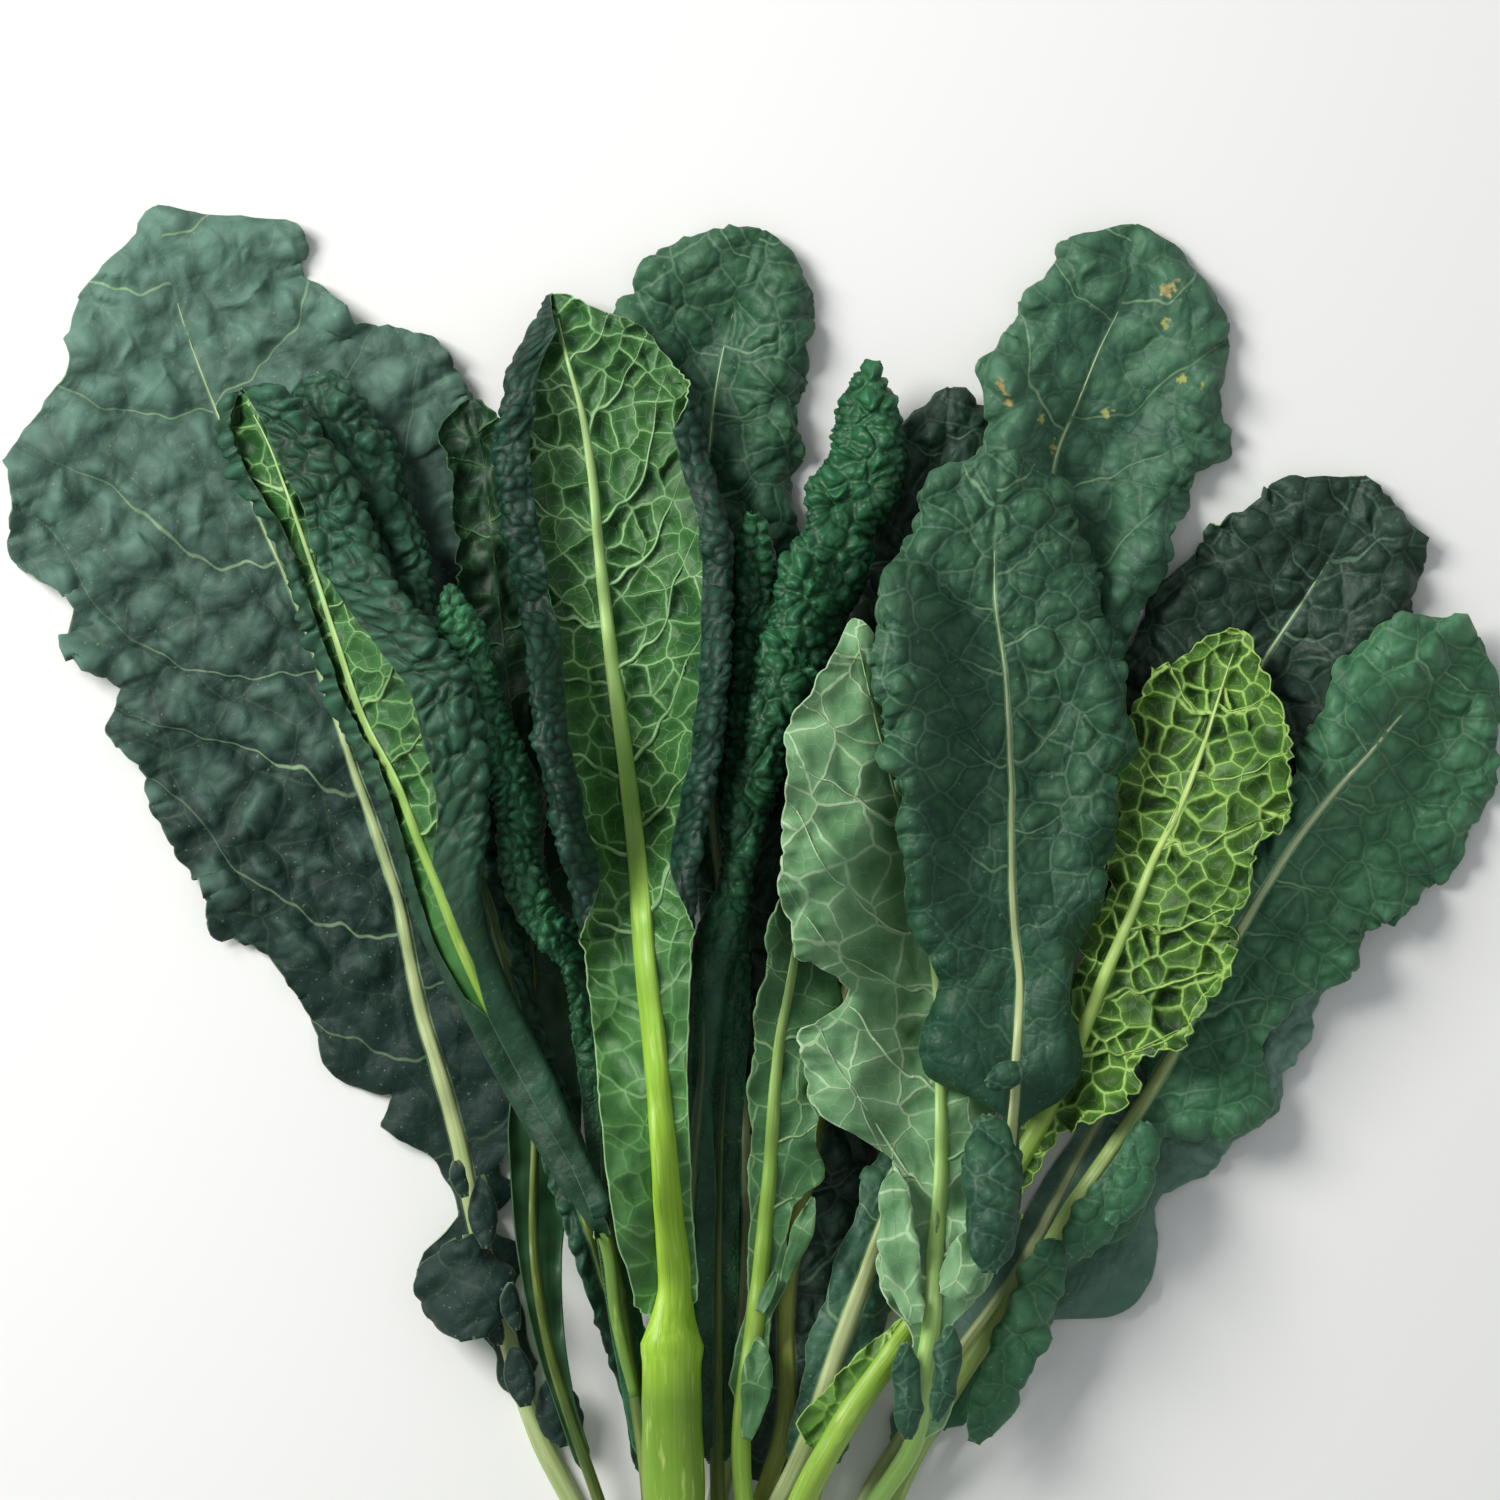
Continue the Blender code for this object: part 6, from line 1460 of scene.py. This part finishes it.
# bright_right: the yellow-green underside on the right
# A leaf lying underside up, its pockets deep and its net of veins raised and pale.
# Yellow-green leaf underside, thin skinned over deep pockets, which are painted a very dark green as painted
# shade
yellow_underside = make_underside("yellow-green kale leaf underside", "#143412", "#5E9034", "#A8CC6C",
                                  cell=8.0, net_width=0.45, net_strength=0.75, lateral_width=1.0)
DEEP_NET = Veins(26.0, (0.5, 0.5), 8.0, 3.4, 4.0, 0.35, 0.3, 1.0)
bright_right = Leaf(
    "bright_right", UNDERSIDE_UP, 0.9, (10.5, 7.5, 3.6), FLAT, margin_curl(70, 8),
    rib=[(7, -254), (9, -206), (16, -176), (29, -151), (57, -111), (88, -62), (95, -50), (109, -20),
         (117, 0), (127, 23), (133, 38), (142, 56), (150, 77), (156, 96), (162, 114)],
    left=[(13, -151), (30, -131), (48, -114), (60, -103), (92, -44), (101, -21), (113, 16), (118, 26),
          (119, 44), (121, 61), (125, 80), (123, 89), (131, 90), (134, 101), (143, 108), (155, 115)],
    right=[(71, -104), (97, -57), (106, -46), (119, -45), (125, -36), (129, -24), (140, -22), (150, -9),
           (158, 5), (156, 14), (164, 29), (165, 42), (175, 51), (179, 66), (174, 88), (170, 99),
           (166, 110)])
# Yellow-green stalk skin, as juicy as the underside beside it
yellow_rib_skin = make_stalk_skin("yellow-green kale stalk skin", "#9CBE4C", "#7CA636", "#B8D070", "#B4D07C")
lay_leaf(bright_right, DEEP_NET, waxy_face, yellow_underside, yellow_rib_skin)

# pale_underside: the large pale underside right of the middle
# A broad leaf lying underside up, flat and matt, with lobes down its stalk.
# Pale leaf underside: a thick bluish bloom that dulls the green
bloomed_underside = make_underside("bloomed kale leaf underside", "#4C7C50", "#82AE7C", "#B8D4A8", cell=14.0,
                                   small_cell=5.0, net_width=0.5, net_strength=0.75,
                                   lateral_width=1.0, roughness=0.6)
pale_underside = Leaf(
    "pale_underside", UNDERSIDE_UP, 0.8, (7.5, 6.4, 2.6), FLAT, FLAT,
    rib=[(19, -252), (22, -206), (40, -176), (55, -151), (57, -134), (60, -113), (61, -91), (63, -66),
         (63, -41), (61, 2), (55, 32), (48, 61), (40, 91), (34, 118)],
    left=[(50, -153), (51, -133), (55, -118), (43, -107), (43, -89), (44, -77), (50, -65), (41, -56),
          (33, -54), (22, -43), (16, -29), (17, -17), (29, -12), (32, -4), (25, 3), (14, 7), (11, 26),
          (9, 42), (13, 56), (11, 69), (12, 80), (22, 97), (30, 112)],
    right=[(61, -153), (69, -137), (64, -117), (78, -104), (80, -92), (74, -74), (78, -51), (84, -34),
           (86, -8), (82, 25), (73, 58), (59, 84), (42, 111)])
pale_lobes = [make_lobe(face, spine, half) for face, spine, half in (
    (UPPER_FACE_UP, [(52, -153), (52, -138), (51, -121)], 4.5),
    (UPPER_FACE_UP, [(61, -147), (65, -131), (66, -115)], 4.0),
    (UNDERSIDE_UP, [(55, -115), (50, -96), (47, -63)], 6.5),
    (UNDERSIDE_UP, [(65, -106), (72, -94), (79, -83)], 8.0))]
# Tender stalk skin: pale lime, with darker juicy streaks
tender_stalk_skin = make_stalk_skin("tender kale stalk skin", "#A9CC7C", "#8DBC52", "#C4DC9C", "#A9C98A")
lay_leaf(pale_underside, SMOOTH, waxy_face, bloomed_underside, tender_stalk_skin,
         lobes=pale_lobes)

# front_centre: the leaf in front in the middle
# It lies underside up on the thick piece of main stem that it was cut with. Both margins are rolled over.
# Bright leaf underside: fresh green pockets under a strong pale net
bright_underside = make_underside("bright kale leaf underside", "#1D4824", "#467A3A", "#A0C88F", cell=10.0,
                                  small_cell=4.2, lateral_width=0.9)
# The main stem's width at distances from its cut end, over the ring where the leaf grew out of it
STEM_PROFILE = ((0, 20.5), (102, 20.5), (126, 19.2), (132, 21.2), (136, 18.0), (141, 15.0), (151, 11.2),
                (200, 8.6), (290, 6.6), (350, 5.2), (395, 3.6), (440, 2.6), (485, 1.5))
# Bluish leaf skin on the rolled margins: the deepest green, with some bloom
deep_roll_face = make_upper_face("bluish kale leaf skin", "#0C261A", "#295542", "#4E7A5E", cell=10.0,
                                 small_cell=4.2, net_strength=0.1)
# Main stem skin: translucent lime where the leaf grows out of it, older and greener at its cut foot
stem_skin = make_stalk_skin("kale main stem skin", "#A2CA40", "#80B024", "#BCD878", "#AFD08C",
                            foot="#5F8228", foot_end=0.27)
HERO_NET = Veins(26.0, (0.5, 0.9), 10.0, 2.8, 4.2, 0.3, 0.4, 1.0)
front_centre = Leaf(
    "front_centre", UNDERSIDE_UP, 1.0, STEM_PROFILE, Roll(180, 4.6, 5.0, 0.3, 0.45),
    Roll(180, 4.3, 4.0, 0.3, 0.45, loose=0.93),
    rib=[(-23, -254), (-24, -206), (-26, -152), (-26, -120), (-25, -102), (-27, -79), (-29, -53),
         (-32, -20), (-35, 7), (-37, 34), (-40, 62), (-45, 99), (-50, 142), (-52, 164), (-56, 188),
         (-61, 206), (-65, 225)],
    left=[(-37, -113), (-44, -87), (-48, -60), (-52, -15), (-54, 9), (-64, 50), (-70, 78), (-72, 106),
          (-77, 131), (-82, 159), (-83, 175), (-80, 196), (-73, 212), (-68, 223)],
    right=[(-18, -113), (-19, -81), (-20, -53), (-21, -31), (-20, 1), (-19, 23), (-17, 45), (-11, 73),
           (-8, 100), (-7, 126), (-7, 147), (-13, 164), (-19, 191), (-34, 213), (-55, 224)])
lay_leaf(front_centre, HERO_NET, deep_roll_face, bright_underside, stem_skin,
         puff=Puff(0.35, 0.26, 0.5))

# front_right: the dark leaf in front on the right
# The topmost leaf, upper face up, with a whitish midrib and its margins curled down.
front_right = Leaf(
    "front_right", UPPER_FACE_UP, 1.2, (4.4, 3.8, 1.8), margin_curl(-50, 12), margin_curl(-50, 12),
    rib=[(78, -94), (81, -81), (85, -62), (87, -45), (88, -26), (89, -2), (87, 20), (86, 69), (84, 102),
         (81, 124), (81, 151), (82, 173)],
    left=[(76, -82), (73, -76), (74, -62), (82, -56), (84, -43), (71, -40), (60, -36), (56, -28),
          (56, -17), (64, -4), (55, 13), (51, 28), (50, 56), (46, 72), (43, 91), (41, 108), (48, 140),
          (58, 152), (57, 164), (69, 173)],
    right=[(84, -84), (89, -79), (90, -64), (88, -56), (90, -45), (97, -46), (108, -35), (110, -24),
           (104, -7), (106, 4), (115, 23), (119, 42), (121, 63), (126, 77), (124, 87), (125, 96),
           (122, 104), (117, 120), (112, 141), (103, 153), (106, 165), (93, 173)])
front_lobes = [make_lobe(UPPER_FACE_UP, spine, half) for spine, half in (
    ([(79, -98), (80, -70), (78, -46)], 9.0), ([(78, -36), (85, -33), (92, -29)], 4.5))]
lay_leaf(front_right, WRINKLED, waxy_face, plain_underside, pale_stalk_skin,
         puff=Puff(0.1, 0.15, 0.6), lobes=front_lobes)
